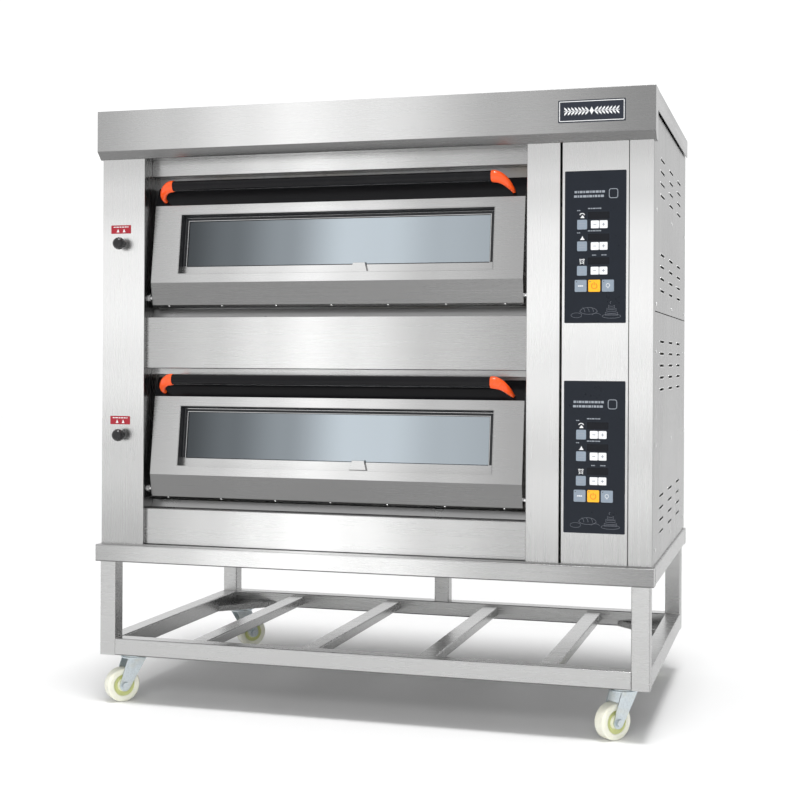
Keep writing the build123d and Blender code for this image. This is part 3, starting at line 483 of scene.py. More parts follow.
def brushed_steel(
    name, base, roughness, grain, painted_sheen, span, upright=False, painted_side_shade=0.30, plain_below=None, lies_flat=False
):
    """Brushed stainless sheet: a painted sheen that swells and fades along it, painted shade on faces that
    look down or sideways, fine grain and light scratches.
    """
    made = Finish(name, base, metallic=1.0, roughness=roughness)
    parts = made.node("ShaderNodeSeparateXYZ", Vector=made.place)
    # Painted sheen: the base colour swells and fades along the sheet, in place of a reflected highlight.
    along = made.range(parts.outputs["Z" if upright else "X"], 0.0, 1.0, *span)
    painted_swell = made.ramp(along, [(place, strength * made.base) for place, strength in painted_sheen])
    # Below the rail band the painted sheen gives way to a flat, darker painted shade.
    if plain_below is not None:
        below = made.range(parts.outputs["Z"], 1.0, 0.0, plain_below, plain_below + MM)
        painted_swell = made.mix(below, painted_swell, BELOW_RAIL_PAINTED_SHADE * made.base)
    # Painted shade: faces that look down take a darker base colour.
    facing = made.node("ShaderNodeSeparateXYZ", Vector=made.node("ShaderNodeNewGeometry").outputs["Normal"])
    under = made.range(facing.outputs["Z"], 1.0, 0.0, -0.17, -0.08)
    shaded = made.mix(under, painted_swell, UNDERSIDE_PAINTED_SHADE * made.base)
    # Painted shade: faces that look left or right take a darker base colour.
    sideways = made.node("ShaderNodeMath")
    sideways.operation = "ABSOLUTE"
    made.tree.links.new(facing.outputs["X"], sideways.inputs[0])
    shaded = made.mix(made.range(sideways.outputs["Value"], 0.0, 1.0, 0.55, 0.9), shaded, painted_side_shade * made.base)

    stretch = (220, 220, 4) if upright else (4, 220, 220)
    hairs = made.noise(1.0, stretch, detail=3.0, rough=0.6)
    clouds = made.noise(2.6, detail=3.0)
    scratches = made.noise(1.0, tuple(2.4 * v if v > 5 else 1.2 for v in stretch), detail=2.0, rough=0.75)
    worn = made.mix(made.range(scratches, 0.0, 0.10, 0.60, 0.80), shaded, SCRATCHED * made.base)
    made.link(made.mix(made.range(clouds, 0.0, 0.05), worn, CLOUDED * made.base), "Base Color")
    both = made.node("ShaderNodeMath")
    both.operation = "ADD"
    made.tree.links.new(made.range(hairs, -0.03, 0.03), both.inputs[0])
    made.tree.links.new(made.range(clouds, roughness - 0.02, roughness + 0.03), both.inputs[1])
    made.link(both.outputs["Value"], "Roughness")
    made.bump(hairs, 0.008, 0.0001)
    if lies_flat:
        made.stretch_gloss(grain, turned=True, about="X")
    else:
        made.stretch_gloss(grain, turned=upright)
    return made.material


def satin_steel(name, base, roughness):
    """Bead-blasted or tumbled steel with a cloudy, slightly uneven surface."""
    made = Finish(name, base, metallic=1.0, roughness=roughness)
    grain = made.noise(900.0, detail=2.0)
    clouds = made.noise(9.0, detail=5.0)
    made.tint(clouds, 0.92, 1.03)
    made.roughen(clouds, roughness - 0.05, roughness + 0.07)
    made.bump(grain, 0.06, 0.0003)
    return made.material


def oven_steel(name, base):
    """Chamber steel: dull, baked on, with a straw tint where it has run hot."""
    made = Finish(name, base, metallic=1.0, roughness=0.42)
    clouds = made.noise(5.0, detail=6.0)
    spots = made.noise(60.0, detail=4.0)
    straw = made.mix(made.range(clouds, 0.0, 0.6, 0.45, 0.75), tuple(base), (0.40, 0.33, 0.22))
    made.link(made.mix(made.range(spots, 0.0, 0.5, 0.60, 0.75), straw, (0.12, 0.10, 0.085)), "Base Color")
    made.roughen(clouds, 0.34, 0.55)
    made.bump(spots, 0.10, 0.0005)
    return made.material


def zinc_plate(name, base):
    """Bright zinc with a faint bluish spangle and rubbed edges."""
    made = Finish(name, base, metallic=1.0, roughness=0.34)
    spangle = made.cells(220.0)
    clouds = made.noise(40.0, detail=5.0)
    lighter = made.mix(made.range(spangle, 0.0, 1.0, 0.1, 0.8), tuple(0.86 * v for v in base), tuple(base))
    made.link(made.mix(made.range(clouds, 0.0, 0.5, 0.5, 0.8), lighter, (0.72, 0.71, 0.62)), "Base Color")
    made.roughen(clouds, 0.25, 0.46)
    made.bump(spangle, 0.08, 0.0003)
    return made.material


def gloss_enamel(name, base, roughness=0.12):
    """Stoved enamel: glossy, with a slight orange peel and a film of dust."""
    made = Finish(name, base, roughness=roughness)
    peel = made.noise(160.0, detail=2.0)
    dust = made.noise(14.0, detail=6.0, rough=0.7)
    dusty = made.range(dust, 0.0, 0.03, 0.55, 0.85)
    made.link(made.mix(dusty, tuple(base), (0.20, 0.20, 0.20)), "Base Color")
    made.roughen(dust, roughness - 0.04, roughness + 0.10)
    made.bump(peel, 0.03, 0.0004)
    made.set(Specular_IOR_Level=0.16)
    return made.material


def moulded_plastic(name, base, roughness, depth=0.0, grain=700.0):
    """Moulded plastic with a fine mould grain and slight colour drift."""
    made = Finish(name, base, roughness=roughness)
    fine = made.noise(grain, detail=2.0)
    drift = made.noise(22.0, detail=4.0)
    made.tint(drift, 0.90, 1.06)
    made.roughen(drift, roughness - 0.05, roughness + 0.08)
    made.bump(fine, 0.04, 0.0002)
    if depth:
        made.set(Subsurface_Weight=0.25, Subsurface_Scale=depth, Subsurface_Radius=(1.0, 0.6, 0.3))
    return made.material


def panel_film(name, base, roughness=0.34):
    """Polyester control film: a fine velvet texture and faint finger marks."""
    made = Finish(name, base, roughness=roughness)
    velvet = made.noise(1500.0, detail=1.0)
    marks = made.noise(26.0, detail=5.0, rough=0.65)
    made.tint(marks, 0.88, 1.25)
    made.roughen(marks, roughness - 0.08, roughness + 0.08)
    made.bump(velvet, 0.08, 0.0001)
    made.set(Specular_IOR_Level=0.2)
    return made.material


def printed_ink(name, base, roughness=0.45):
    """Screen-printed ink, slightly uneven in cover."""
    made = Finish(name, base, roughness=roughness)
    cover = made.noise(420.0, detail=3.0)
    made.tint(cover, 0.90, 1.0)
    made.roughen(cover, roughness - 0.06, roughness + 0.06)
    made.bump(cover, 0.05, 0.0001)
    return made.material


# Strength of the painted reflection across a window pane, from left to right, as a share of the tint.
GLASS_PAINTED_REFLECTION = ((0.0, 0.10), (0.16, 0.22), (0.34, 0.42), (0.55, 0.86), (0.66, 0.84), (0.84, 0.64), (1.0, 0.58))


def door_glass(name, tint, span):
    """Sheet glass with a painted reflection: its mirror colour swells towards the middle of the pane."""
    made = Finish(name, tint, roughness=0.05)
    tree = made.tree
    smears = made.noise(7.0, (1, 1, 3), detail=5.0, rough=0.6)
    parts = made.node("ShaderNodeSeparateXYZ", Vector=made.place)
    along = made.range(parts.outputs["X"], 0.0, 1.0, *span)
    painted_reflection = made.ramp(along, [(place, strength * made.base) for place, strength in GLASS_PAINTED_REFLECTION])
    clear = made.node("ShaderNodeBsdfTransparent", Color=(0.55, 0.60, 0.63, 1.0))
    coat = made.node("ShaderNodeBsdfGlossy", Color=painted_reflection)
    tree.links.new(made.range(smears, 0.03, 0.08), coat.inputs["Roughness"])
    angle = made.node("ShaderNodeLayerWeight", Blend=0.35)
    share_out = made.range(angle.outputs["Fresnel"], 0.82, 0.97, 0.0, 1.0)
    both = made.node("ShaderNodeMixShader")
    tree.links.new(share_out, both.inputs[0])
    tree.links.new(clear.outputs[0], both.inputs[1])
    tree.links.new(coat.outputs[0], both.inputs[2])
    tree.links.new(both.outputs[0], tree.nodes["Material Output"].inputs["Surface"])
    tree.nodes.remove(made.shader)
    return made.material


def mineral_wool(name):
    """Matted fibre."""
    made = Finish(name, (0.74, 0.66, 0.38), roughness=0.95)
    fibre = made.noise(120.0, (1, 6, 1), detail=8.0, rough=0.7)
    clumps = made.noise(18.0, detail=5.0)
    made.tint(fibre, 0.62, 1.15)
    made.bump(fibre, 0.6, 0.003)
    made.bump(clumps, 0.5, 0.006)
    made.set(Sheen_Weight=0.3)
    return made.material


def circuit_board(name):
    """Green solder mask over fine copper tracks."""
    made = Finish(name, (0.02, 0.17, 0.07), roughness=0.35)
    tracks = made.cells(140.0, (1, 1, 1), "DISTANCE_TO_EDGE")
    on_track = made.range(tracks, 0.0, 1.0, 0.02, 0.06)
    made.link(made.mix(on_track, (0.05, 0.34, 0.13), (0.015, 0.13, 0.06)), "Base Color")
    made.bump(tracks, 0.2, 0.0003)
    return made.material


def hearth_steel(name, base):
    """Oiled, baked hearth plate."""
    made = Finish(name, base, metallic=0.8, roughness=0.5)
    patches = made.noise(7.0, detail=8.0, rough=0.65)
    pits = made.noise(90.0, detail=4.0)
    made.tint(patches, 0.45, 1.6)
    made.roughen(patches, 0.35, 0.7)
    made.bump(pits, 0.25, 0.0008)
    return made.material


def wheel_nylon(name, base, dirt=0.35):
    """Cast nylon: milky, with scuffs and floor dirt on the tread."""
    made = Finish(name, base, roughness=0.36)
    scuffs = made.noise(70.0, (1, 1, 1), detail=7.0, rough=0.7)
    clean = made.mix(made.noise(14.0), tuple(0.94 * v for v in base), tuple(base))
    made.link(made.mix(made.range(scuffs, 0.0, dirt, 0.52, 0.8), clean, (0.42, 0.40, 0.33)), "Base Color")
    made.roughen(scuffs, 0.28, 0.55)
    made.bump(scuffs, 0.12, 0.0006)
    made.set(Subsurface_Weight=0.2, Subsurface_Scale=0.004, Subsurface_Radius=(1.0, 0.9, 0.6))
    return made.material


def studio_floor(name, base):
    """A plain pale floor, very slightly uneven."""
    made = Finish(name, base, roughness=0.85)
    soft = made.noise(0.6, detail=3.0)
    made.tint(soft, 0.985, 1.0)
    made.bump(made.noise(40.0), 0.03, 0.001)
    return made.material


MATERIALS = {}


RAIL_BAND = 40.0 * MM  # the painted sheen of the stand's top rails reaches this far down


def make_materials(scene):
    """Every finish of the oven, made once."""
    metal, plastic = scene.oven_metal, scene.oven_plastic
    steel, rough, grain = metal.steel_colour, metal.steel_roughness, metal.steel_grain
    bay = tuple(corner.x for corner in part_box("mid_fascia"))
    wide = tuple(corner.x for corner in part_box("canopy_fascia"))
    tall = tuple(corner.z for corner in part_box("left_column"))
    pane = tuple(corner.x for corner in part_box("upper_door_glass"))
    sheet = (steel, rough, grain)
    under_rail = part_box("stand_frame")[1].z - RAIL_BAND
    MATERIALS.update(
        level_steel=brushed_steel("level_brushed_steel", *sheet, LEVEL_PAINTED_SHEEN, bay),
        canopy_steel=brushed_steel("canopy_brushed_steel", *sheet, WIDE_PAINTED_SHEEN, wide, painted_side_shade=0.34),
        top_steel=brushed_steel("top_brushed_steel", *sheet, WIDE_PAINTED_SHEEN, wide, painted_side_shade=0.34, lies_flat=True),
        upright_steel=brushed_steel("upright_brushed_steel", *sheet, UPRIGHT_PAINTED_SHEEN, tall, upright=True),
        side_steel=brushed_steel("side_panel_steel", *sheet, UPRIGHT_PAINTED_SHEEN, tall, upright=True, painted_side_shade=0.30),
        stand_steel=brushed_steel(
            "stand_tube_steel", *sheet, WIDE_PAINTED_SHEEN, wide, painted_side_shade=0.32, plain_below=under_rail
        ),
        sill_steel=satin_steel("door_sill_steel", (0.36, 0.36, 0.36), 0.30),
        # black strips that paint the shade in the window recesses
        gasket=moulded_plastic("window_gasket_rubber", (0.010, 0.011, 0.013), 0.42),
        # dark chamber colour: painted shade inside the ovens' mouths
        chamber=oven_steel("chamber_steel", metal.chamber_colour),
        zinc=zinc_plate("zinc_plate", metal.zinc_colour),
        bright=satin_steel("bright_turned_steel", (0.80, 0.80, 0.80), 0.18),
        weld=satin_steel("weld_bead_steel", (0.50, 0.49, 0.48), 0.42),
        heater=oven_steel("heater_sheath", (0.20, 0.19, 0.18)),
        hearth=hearth_steel("hearth_plate", metal.hearth_colour),
        enamel=gloss_enamel("black_enamel", plastic.black_colour),
        handle=gloss_enamel("black_handle_coat", plastic.black_colour, 0.10),
        black=moulded_plastic("black_plastic", plastic.black_colour, 0.30),
        orange=moulded_plastic("orange_bracket_plastic", plastic.horn_colour, 0.20, 0.006, 300.0),
        glass=door_glass("door_glass_painted_reflection", plastic.glass_colour, pane),
        film=panel_film("control_panel_film", plastic.film_colour),
        display=panel_film("display_window", (0.006, 0.007, 0.010), 0.12),
        grey_key=moulded_plastic("grey_key_film", plastic.grey_key_colour, 0.36),
        yellow_key=moulded_plastic("yellow_key_film", plastic.yellow_key_colour, 0.34),
        white_key=moulded_plastic("white_key_film", (0.84, 0.85, 0.87), 0.36),
        label=printed_ink("steam_label_red", plastic.label_colour, 0.34),
        plate=satin_steel("nameplate_dark_metal", (0.05, 0.055, 0.07), 0.34),
        white_ink=printed_ink("white_ink", (0.82, 0.83, 0.84)),
        pale_ink=printed_ink("pale_grey_ink", (0.30, 0.33, 0.37)),
        line_ink=printed_ink("dim_line_ink", (0.12, 0.13, 0.155)),
        dark_ink=printed_ink("dark_ink", (0.10, 0.11, 0.12)),
        power_ink=printed_ink("power_mark_ink", (0.72, 0.20, 0.01)),
        tyre=wheel_nylon("nylon_tyre", plastic.wheel_colour),
        web=wheel_nylon("nylon_wheel_web", plastic.web_colour, 0.15),
        wool=mineral_wool("mineral_wool"),
        board=circuit_board("circuit_board"),
    )


# ---------------------------------------------------------------- stage
def world_light(stage):
    """Even, soft surroundings: one strength mirrored in the steel, a dimmer one on dull surfaces."""
    world = bpy.data.worlds.new("studio_surroundings")
    world.use_nodes = True
    bpy.context.scene.world = world
    tree = world.node_tree
    links = tree.links
    direction = tree.nodes.new("ShaderNodeTexCoord").outputs["Generated"]
    parts = tree.nodes.new("ShaderNodeSeparateXYZ")
    links.new(direction, parts.inputs[0])
    height = tree.nodes.new("ShaderNodeValToRGB")
    links.new(parts.outputs["Z"], height.inputs["Fac"])
    low, high = height.color_ramp.elements
    low.color = (1.0, 1.0, 1.0, 1.0)
    high.color = (0.92, 0.92, 0.93, 1.0)

    rays = tree.nodes.new("ShaderNodeLightPath").outputs
    mirrored = tree.nodes["Background"]
    mirrored.inputs["Strength"].default_value = stage.mirrored_strength
    links.new(height.outputs["Color"], mirrored.inputs["Color"])
    shown = mirrored.outputs[0]
    for ray, strength in (("Is Diffuse Ray", stage.ambient_strength), ("Is Camera Ray", 1.1)):
        plain = tree.nodes.new("ShaderNodeBackground")
        plain.inputs["Color"].default_value = (1.0, 1.0, 1.0, 1.0)
        plain.inputs["Strength"].default_value = strength
        choose = tree.nodes.new("ShaderNodeMixShader")
        links.new(rays[ray], choose.inputs[0])
        links.new(shown, choose.inputs[1])
        links.new(plain.outputs[0], choose.inputs[2])
        shown = choose.outputs[0]
    links.new(shown, tree.nodes["World Output"].inputs["Surface"])


def add_light(name, kind, place, target, strength):
    """A light that points at a target."""
    data = bpy.data.lights.new(name, kind)
    data.energy = strength
    made = bpy.data.objects.new(name, data)
    made.location = place
    made.rotation_euler = (Vector(target) - Vector(place)).to_track_quat("-Z", "Y").to_euler()
    bpy.context.scene.collection.objects.link(made)
    return made


class OVEN_OT_build_stage(bpy.types.Operator):
    """Build the floor, the light and the camera"""

    bl_idname = "oven.build_stage"
    bl_label = "Build Stage"

    def execute(self, context):
        stage = context.scene.oven_stage
        context.scene.view_settings.view_transform = "Standard"
        reach = stage.floor_reach
        data = bpy.data.meshes.new("studio_floor")
        corners = [(-reach, -reach, 0), (reach, -reach, 0), (reach, reach, 0), (-reach, reach, 0)]
        data.from_pydata(corners, [], [(0, 1, 2, 3)])
        data.materials.append(studio_floor("studio_floor", stage.floor_colour))
        floor = bpy.data.objects.new("studio_floor", data)
        context.scene.collection.objects.link(floor)
        world_light(stage)
        overhead = add_light("overhead_light", "SUN", (0.30, -0.55, 4.0), (0, 0, 0), stage.overhead_strength)
        overhead.data.angle = stage.overhead_spread
        fill = add_light("front_fill", "AREA", (0.4, -4.5, 1.6), (0, 0, 0.8), stage.fill_power)
        fill.data.size = 3.0
        fill.visible_glossy = False

        camera = bpy.data.cameras.new("studio_camera")
        camera.lens = stage.focal_length
        camera.shift_x, camera.shift_y = stage.lens_shift
        camera.clip_end = 100.0
        stand = bpy.data.objects.new("studio_camera", camera)
        stand.matrix_world = (
            Matrix.Translation(stage.camera_place)
            @ Matrix.Rotation(stage.camera_turn, 4, "Z")
            @ Matrix.Rotation(radians(90), 4, "X")
            @ Matrix.Rotation(stage.camera_roll, 4, "Z")
        )
        context.scene.collection.objects.link(stand)
        context.scene.camera = stand
        return {"FINISHED"}


# ---------------------------------------------------------------- finishes of the CAD nodes
NODE_FINISHES = {
    "canopy_steel": ("canopy_fascia",),
    "top_steel": ("top_cover",),
    "sill_steel": ("door_sills",),
    "level_steel": (
        "header_panels",
        "mid_fascia",
        "bottom_fascia",
        "base_pan",
        "lower_door_skin",
        "upper_door_skin",
        "lower_door_glass_frame",
        "upper_door_glass_frame",
        "lower_door_liner",
        "upper_door_liner",
    ),
    "upright_steel": (
        "left_column",
        "right_jamb",
        "control_cover",
        "right_corner_post",
    ),
    "side_steel": ("left_side_panels", "right_side_panels", "back_panel"),
    "stand_steel": ("stand_frame", "stand_slats", "caster_gussets"),
    "chamber": ("upper_chamber", "lower_chamber"),
    "hearth": ("hearth_plates",),
    "heater": ("heating_elements",),
    "wool": ("insulation",),
    "board": ("circuit_boards",),
    "bright": ("hinge_pins",),
    "zinc": ("caster_mounts", *(f"{corner}_fork" for corner in CORNERS)),
    "film": ("control_overlays",),
    "grey_key": tuple(f"{deck}_{key}_key" for deck in DECKS for key in ("mode", "lamp")),
    "yellow_key": tuple(f"{deck}_power_key" for deck in DECKS),
    "plate": ("nameplate",),
    "label": ("steam_labels",),
    "black": ("damper_guides", "cable_gland", *(f"{deck}_damper_knob" for deck in DECKS)),
    "enamel": tuple(f"{deck}_door_cap" for deck in DECKS),
    "handle": tuple(f"{deck}_door_handle" for deck in DECKS),
    "orange": tuple(f"{deck}_handle_brackets" for deck in DECKS),
    "glass": tuple(f"{deck}_door_glass" for deck in DECKS),
    "tyre": tuple(f"{corner}_wheel" for corner in CORNERS),
}


class OVEN_OT_finish_nodes(bpy.types.Operator):
    """Give every carried-over part its own finish"""

    bl_idname = "oven.finish_nodes"
    bl_label = "Finish Carried-Over Parts"

    def execute(self, context):
        make_materials(context.scene)
        painted = set()
        for material, names in NODE_FINISHES.items():
            for name in names:
                paint_node(name, MATERIALS[material])
                painted.add(name)
        missed = sorted(set(frame["nodes"]) - painted)
        if missed:
            raise RuntimeError(f"no finish for {missed}")
        return {"FINISHED"}


# ---------------------------------------------------------------- pieces
def flat_face(name, towards, near=0.9):
    """The outermost flat face of a CAD node that looks one way: its place, width and height."""
    data = frame["nodes"][name].data
    faces = [face for face in data.polygons if face.normal.dot(towards) > near]
    out = max(faces, key=lambda face: face.area).normal.copy()
    level = [face for face in faces if face.normal.dot(out) > 0.9999]
    reach = max(face.center.dot(out) for face in level)
    used = {i for face in level if reach - face.center.dot(out) < 0.1 * MM for i in face.vertices}
    up = out.cross(RIGHT)
    points = [data.vertices[i].co for i in used]
    across = [point.dot(RIGHT) for point in points]
    along = [point.dot(up) for point in points]
    middle_across = (min(across) + max(across)) / 2
    middle_along = (min(along) + max(along)) / 2
    centre = middle_across * RIGHT + middle_along * up + reach * out
    return (centre, RIGHT, up, out), max(across) - min(across), max(along) - min(along)


def front_place(point):
    """A place on an upright face that looks forward."""
    return Vector(point), RIGHT, UP, FORWARD


WINDOW_LEAN = Vector((0, -1, 0.137)).normalized()  # the outer pane leans back; the inner one is upright
WINDOW_DEPTH = 19.4 * MM  # from the pane's steel rim out to the door's face
RIM_SHEET = 1.2 * MM
RIM_SIDE = 12.4 * MM
RIM_FOOT = 20.0 * MM


class OVEN_OT_window_gaskets(bpy.types.Operator):
    """Line each window's recess with black strips that paint the shade in it, with a bright bead round the
    glass
    """

    bl_idname = "oven.window_gaskets"
    bl_label = "Window Gaskets"

    def execute(self, context):
        for deck in DECKS:
            place, width, height = flat_face(f"{deck}_door_glass", WINDOW_LEAN, 0.995)

            def around(inset, foot):
                side = width / 2 - inset
                return [
                    (-side, foot - height / 2),
                    (-side, height / 2 - inset),
                    (side, height / 2 - inset),
                    (side, foot - height / 2),
                ]

            # Painted shade: black strips on the rim, down the recess walls and along the sill.
            mesh = bmesh.new()
            frame_line = around(RIM_SIDE / 2, RIM_FOOT)
            stroke(mesh, place, frame_line, RIM_SIDE - 1.0 * MM, RIM_SHEET, RIM_SHEET + 0.8 * MM)
            stroke(mesh, place, around(0.5 * MM, 1.0 * MM), 0.8 * MM, RIM_SHEET, WINDOW_DEPTH)
            sill_end, sill_level = width / 2 - RIM_SIDE, RIM_FOOT - height / 2
            sill = [(-sill_end, sill_level), (sill_end, sill_level)]
            stroke(mesh, place, sill, 1.2 * MM, 0.1 * MM, RIM_SHEET + 0.6 * MM)
            piece(mesh, f"{deck}_window_gasket", f"{deck}_door", MATERIALS["gasket"])
            mesh = bmesh.new()
            for inset in (4.0 * MM, 10.6 * MM):
                stroke(
                    mesh, place, around(inset, RIM_FOOT), 0.9 * MM, RIM_SHEET + 0.6 * MM, RIM_SHEET + 1.4 * MM
                )
            piece(mesh, f"{deck}_window_bead", f"{deck}_door", MATERIALS["bright"])
        return {"FINISHED"}


# A domed head: share of its height, share of its radius.
HEAD_PROFILE = ((-0.2, 0.98), (0.35, 1.0), (0.8, 0.72), (1.0, 0.25))


def dome_head(mesh, origin, axis, radius, height, steps=20):
    """A low domed rivet or screw head."""
    profile = [(along * height, out * radius) for along, out in HEAD_PROFILE]
    turn(mesh, origin, axis, profile, steps)


# A horn from its foot to its head: share of the way, radius in millimetres.
HORN_SWELL = (
    (0.0, 4.2),
    (0.12, 4.8),
    (0.3, 6.4),
    (0.5, 8.6),
    (0.68, 10.8),
    (0.84, 12.6),
    (0.94, 13.2),
    (1.0, 12.4),
)
HORN_STEPS = 26
HORN_FOOT_IN = 5.0 * MM  # centre of the foot, inside the bracket's end and back
HORN_FOOT_UP = 6.0 * MM
HORN_FOOT_LIFT = 4.0 * MM  # how far the foot's control point stands higher than the foot
HORN_HEAD_IN = 7.0 * MM  # how far the head reaches over the tube's end
HORN_PULL = 26.0 * MM  # from each end of the curve to its control point
NUDGE = 0.01  # share of the way over which the curve's direction is taken


def bezier(points, along):
    """A point on a curve with two end points and two control points."""
    one, two, three, four = points
    left = 1 - along
    return left**3 * one + 3 * left**2 * along * two + 3 * left * along**2 * three + along**3 * four


def between(table, along):
    """Read a value from a table of places and values, in a straight line from row to row."""
    for (start, first), (end, second) in zip(table, table[1:]):
        if along <= end:
            return first + (second - first) * (along - start) / (end - start)
    return table[-1][1]


class OVEN_OT_handle_horns(bpy.types.Operator):
    """Shape the tapering horns that hold the door handles"""

    bl_idname = "oven.handle_horns"
    bl_label = "Handle Horns"

    def execute(self, context):
        steps = context.scene.oven_trim.round_steps // 2
        for deck in DECKS:
            tube_low, tube_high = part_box(f"{deck}_door_handle")
            low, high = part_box(f"{deck}_handle_brackets")
            axis_y, axis_z = (tube_low.y + tube_high.y) / 2, (tube_low.z + tube_high.z) / 2
            mesh = bmesh.new()
            for out, tube_x, end_x in ((LEFT, tube_low.x, low.x), (RIGHT, tube_high.x, high.x)):
                foot = Vector((end_x, high.y - HORN_FOOT_IN, low.z + HORN_FOOT_UP)) - HORN_FOOT_IN * out
                head = Vector((tube_x, axis_y, axis_z)) - HORN_HEAD_IN * out
                leave = foot + HORN_PULL * FORWARD + HORN_FOOT_LIFT * UP
                bend = (foot, leave, head + HORN_PULL * out, head)
                rings = []
                for step in range(HORN_STEPS + 1):
                    along = step / HORN_STEPS
                    centre = bezier(bend, along)
                    behind, ahead = bezier(bend, max(0, along - NUDGE)), bezier(bend, min(1, along + NUDGE))
                    heading = (ahead - behind).normalized()
                    first = heading.cross(BACKWARD if abs(heading.y) < 0.8 else out).normalized()
                    if rings and first.dot(turned) < 0:
                        first = -first
                    turned = first
                    reach = between(HORN_SWELL, along) * MM
                    rings.append(ring(centre, first, heading.cross(first), reach, steps))
                skin(mesh, rings)
            piece(
                mesh,
                f"{deck}_handle_horns",
                f"{deck}_door",
                MATERIALS["orange"],
                replaces=(f"{deck}_handle_brackets",),
                smooth=70.0,
            )
        return {"FINISHED"}


RIVET_HEIGHT = 1.1 * MM


class OVEN_OT_door_rivets(bpy.types.Operator):
    """Put the row of rivets along the bottom strip of each door"""

    bl_idname = "oven.door_rivets"
    bl_label = "Door Rivets"

    def execute(self, context):
        trim = context.scene.oven_trim
        for deck in DECKS:
            strip = flat_face(f"{deck}_door_skin", (FORWARD + DOWN).normalized())
            (centre, right, _, out), width, _ = strip
            count = int(width / trim.rivet_pitch)
            start = -trim.rivet_pitch * count / 2
            mesh = bmesh.new()
            for index in range(count + 1):
                point = centre + (start + index * trim.rivet_pitch) * right
                dome_head(mesh, point, out, trim.rivet_radius, RIVET_HEIGHT)
            piece(mesh, f"{deck}_door_rivets", f"{deck}_door", MATERIALS["bright"])
        return {"FINISHED"}


INK_ROOT = -0.03 * MM  # a printed mark starts this far inside its surface


def panel_print(mesh, place, shape, points, width=0.0):
    """A printed patch, or a line or loop of some width: millimetres right and down from the place."""
    ink = bpy.context.scene.oven_trim.ink
    outline = [(x * MM, -y * MM) for x, y in points]
    if shape == "patch":
        prism(mesh, place, outline, INK_ROOT, ink)
    else:
        stroke(mesh, place, outline, width * MM, INK_ROOT, ink, closed=shape == "loop")


def bars(mesh, place, x, y, widths, height, gap):
    """A row of short blocks, in place of words."""
    for width in widths:
        panel_print(mesh, place, "patch", ((x, y + height), (x + width, y + height), (x + width, y), (x, y)))
        x += width + gap


# The panel's layout, in millimetres right and down from its top left corner.
ROWS = (110.5, 155.0, 205.5)
DISPLAY_ROWS = (92.0, 137.0, 185.5)
GREY_PAD = 36.0
WHITE_PADS = (62.3, 80.0)
TITLE_ROWS = (
    (20.0, 41.0, (5.0, 2.4, 6.2, 3.4, 7.6, 3.0, 5.2, 6.4, 4.0, 5.6), 1.5),
    (19.0, 50.0, (6.2, 3.2, 5.0, 7.4, 3.0, 6.0, 2.6, 5.2, 4.2, 6.8), 1.3),
)


def print_marks(mesh, place):
    """White and grey marks of one panel: title blocks, small captions and three symbols."""
    for x, y, widths, gap in TITLE_ROWS:
        bars(mesh, place, x, y, widths, 4.6, gap)
    panel_print(mesh, place, "loop", rounded(100.0, 47.5, 17.5, 18.5, 4.0), 1.3)
    for x, y in ((48.0, 76.5), (48.0, 122.5)):
        bars(mesh, place, x, y, (4.5, 3.0, 5.5, 2.0, 3.0, 4.0), 2.2, 1.0)
    for x, y in ((25.5, 80.5), (25.5, 126.5)):
        bars(mesh, place, x, y, (2.2, 3.4), 1.8, 0.8)
    bars(mesh, place, 57.0, 172.5, (3.0, 2.0, 1.2), 2.0, 0.8)
    bars(mesh, place, 76.0, 172.5, (3.0, 2.2, 3.4), 2.0, 0.8)


def print_symbols(mesh, place):
    """Top heat, bottom heat and timer symbols above the three rows."""
    panel_print(mesh, place, "line", arc(36.0, 91.5, 5.0, -4.2, 10, 170, 12), 1.6)
    panel_print(mesh, place, "patch", ((32.0, 97.0), (41.0, 97.0), (37.6, 91.6), (36.0, 91.6)))
    flame = ((31.4, 142.0), (41.4, 142.0), (38.4, 138.0), (36.6, 133.6), (34.6, 138.4))
    panel_print(mesh, place, "patch", flame)
    panel_print(mesh, place, "loop", circle(36.0, 186.0, 4.0, 20), 1.2)
    for side in (-1, 1):
        panel_print(mesh, place, "line", ((36.0 + 3.4 * side, 181.0), (36.0 + 5.2 * side, 183.2)), 1.4)
        panel_print(mesh, place, "line", ((36.0 + 2.6 * side, 189.6), (36.0 + 4.2 * side, 192.0)), 1.2)
    panel_print(mesh, place, "line", ((36.0, 183.6), (36.0, 186.2), (37.8, 187.4)), 0.9)


def print_drawing(mesh, place):
    """Line drawing of a loaf, a round bun and a tiered cake on a plate."""
    loaf = arc(50.0, 288.0, 18.0, 9.0, 0, 180, 14) + arc(50.0, 290.0, 18.0, 7.0, 180, 360, 14)[1:-1]
    panel_print(mesh, place, "loop", [(a, 578.0 - b) for a, b in loaf], 0.7)
    for start in (38.0, 47.0, 56.0):
        slash = ((start, 281.0), (start + 3.5, 285.5), (start + 4.5, 290.5))
        panel_print(mesh, place, "line", slash, 0.7)
    bun = arc(25.0, 297.0, 11.0, 5.0, 0, 360, 22)[:-1]
    panel_print(mesh, place, "loop", bun, 0.6)
    panel_print(mesh, place, "line", arc(66.0, 298.0, 9.0, 5.0, 190, 350, 10), 0.6)
    panel_print(mesh, place, "loop", arc(97.0, 299.0, 19.0, 4.2, 0, 360, 28)[:-1], 0.7)
    for top, reach in ((291.0, 12.5), (283.0, 9.5), (276.5, 6.0)):
        tier = arc(97.0, top, reach, 2.4, 0, 180, 10) + [(97.0 - reach, top + 6.0), (97.0 + reach, top + 6.0)]
        panel_print(mesh, place, "loop", tier, 0.7)
    panel_print(mesh, place, "line", ((95.0, 274.0), (94.0, 270.0), (96.5, 268.5)), 0.7)


def caps(mesh, place, centres, size):
    """Printed faces of small keys, which stand a little above the film."""
    for x, y in centres:
        outline = rounded(x * MM, -y * MM, size[0] * MM, size[1] * MM, size[2] * MM)
        prism(mesh, place, outline, INK_ROOT, 0.52 * MM)


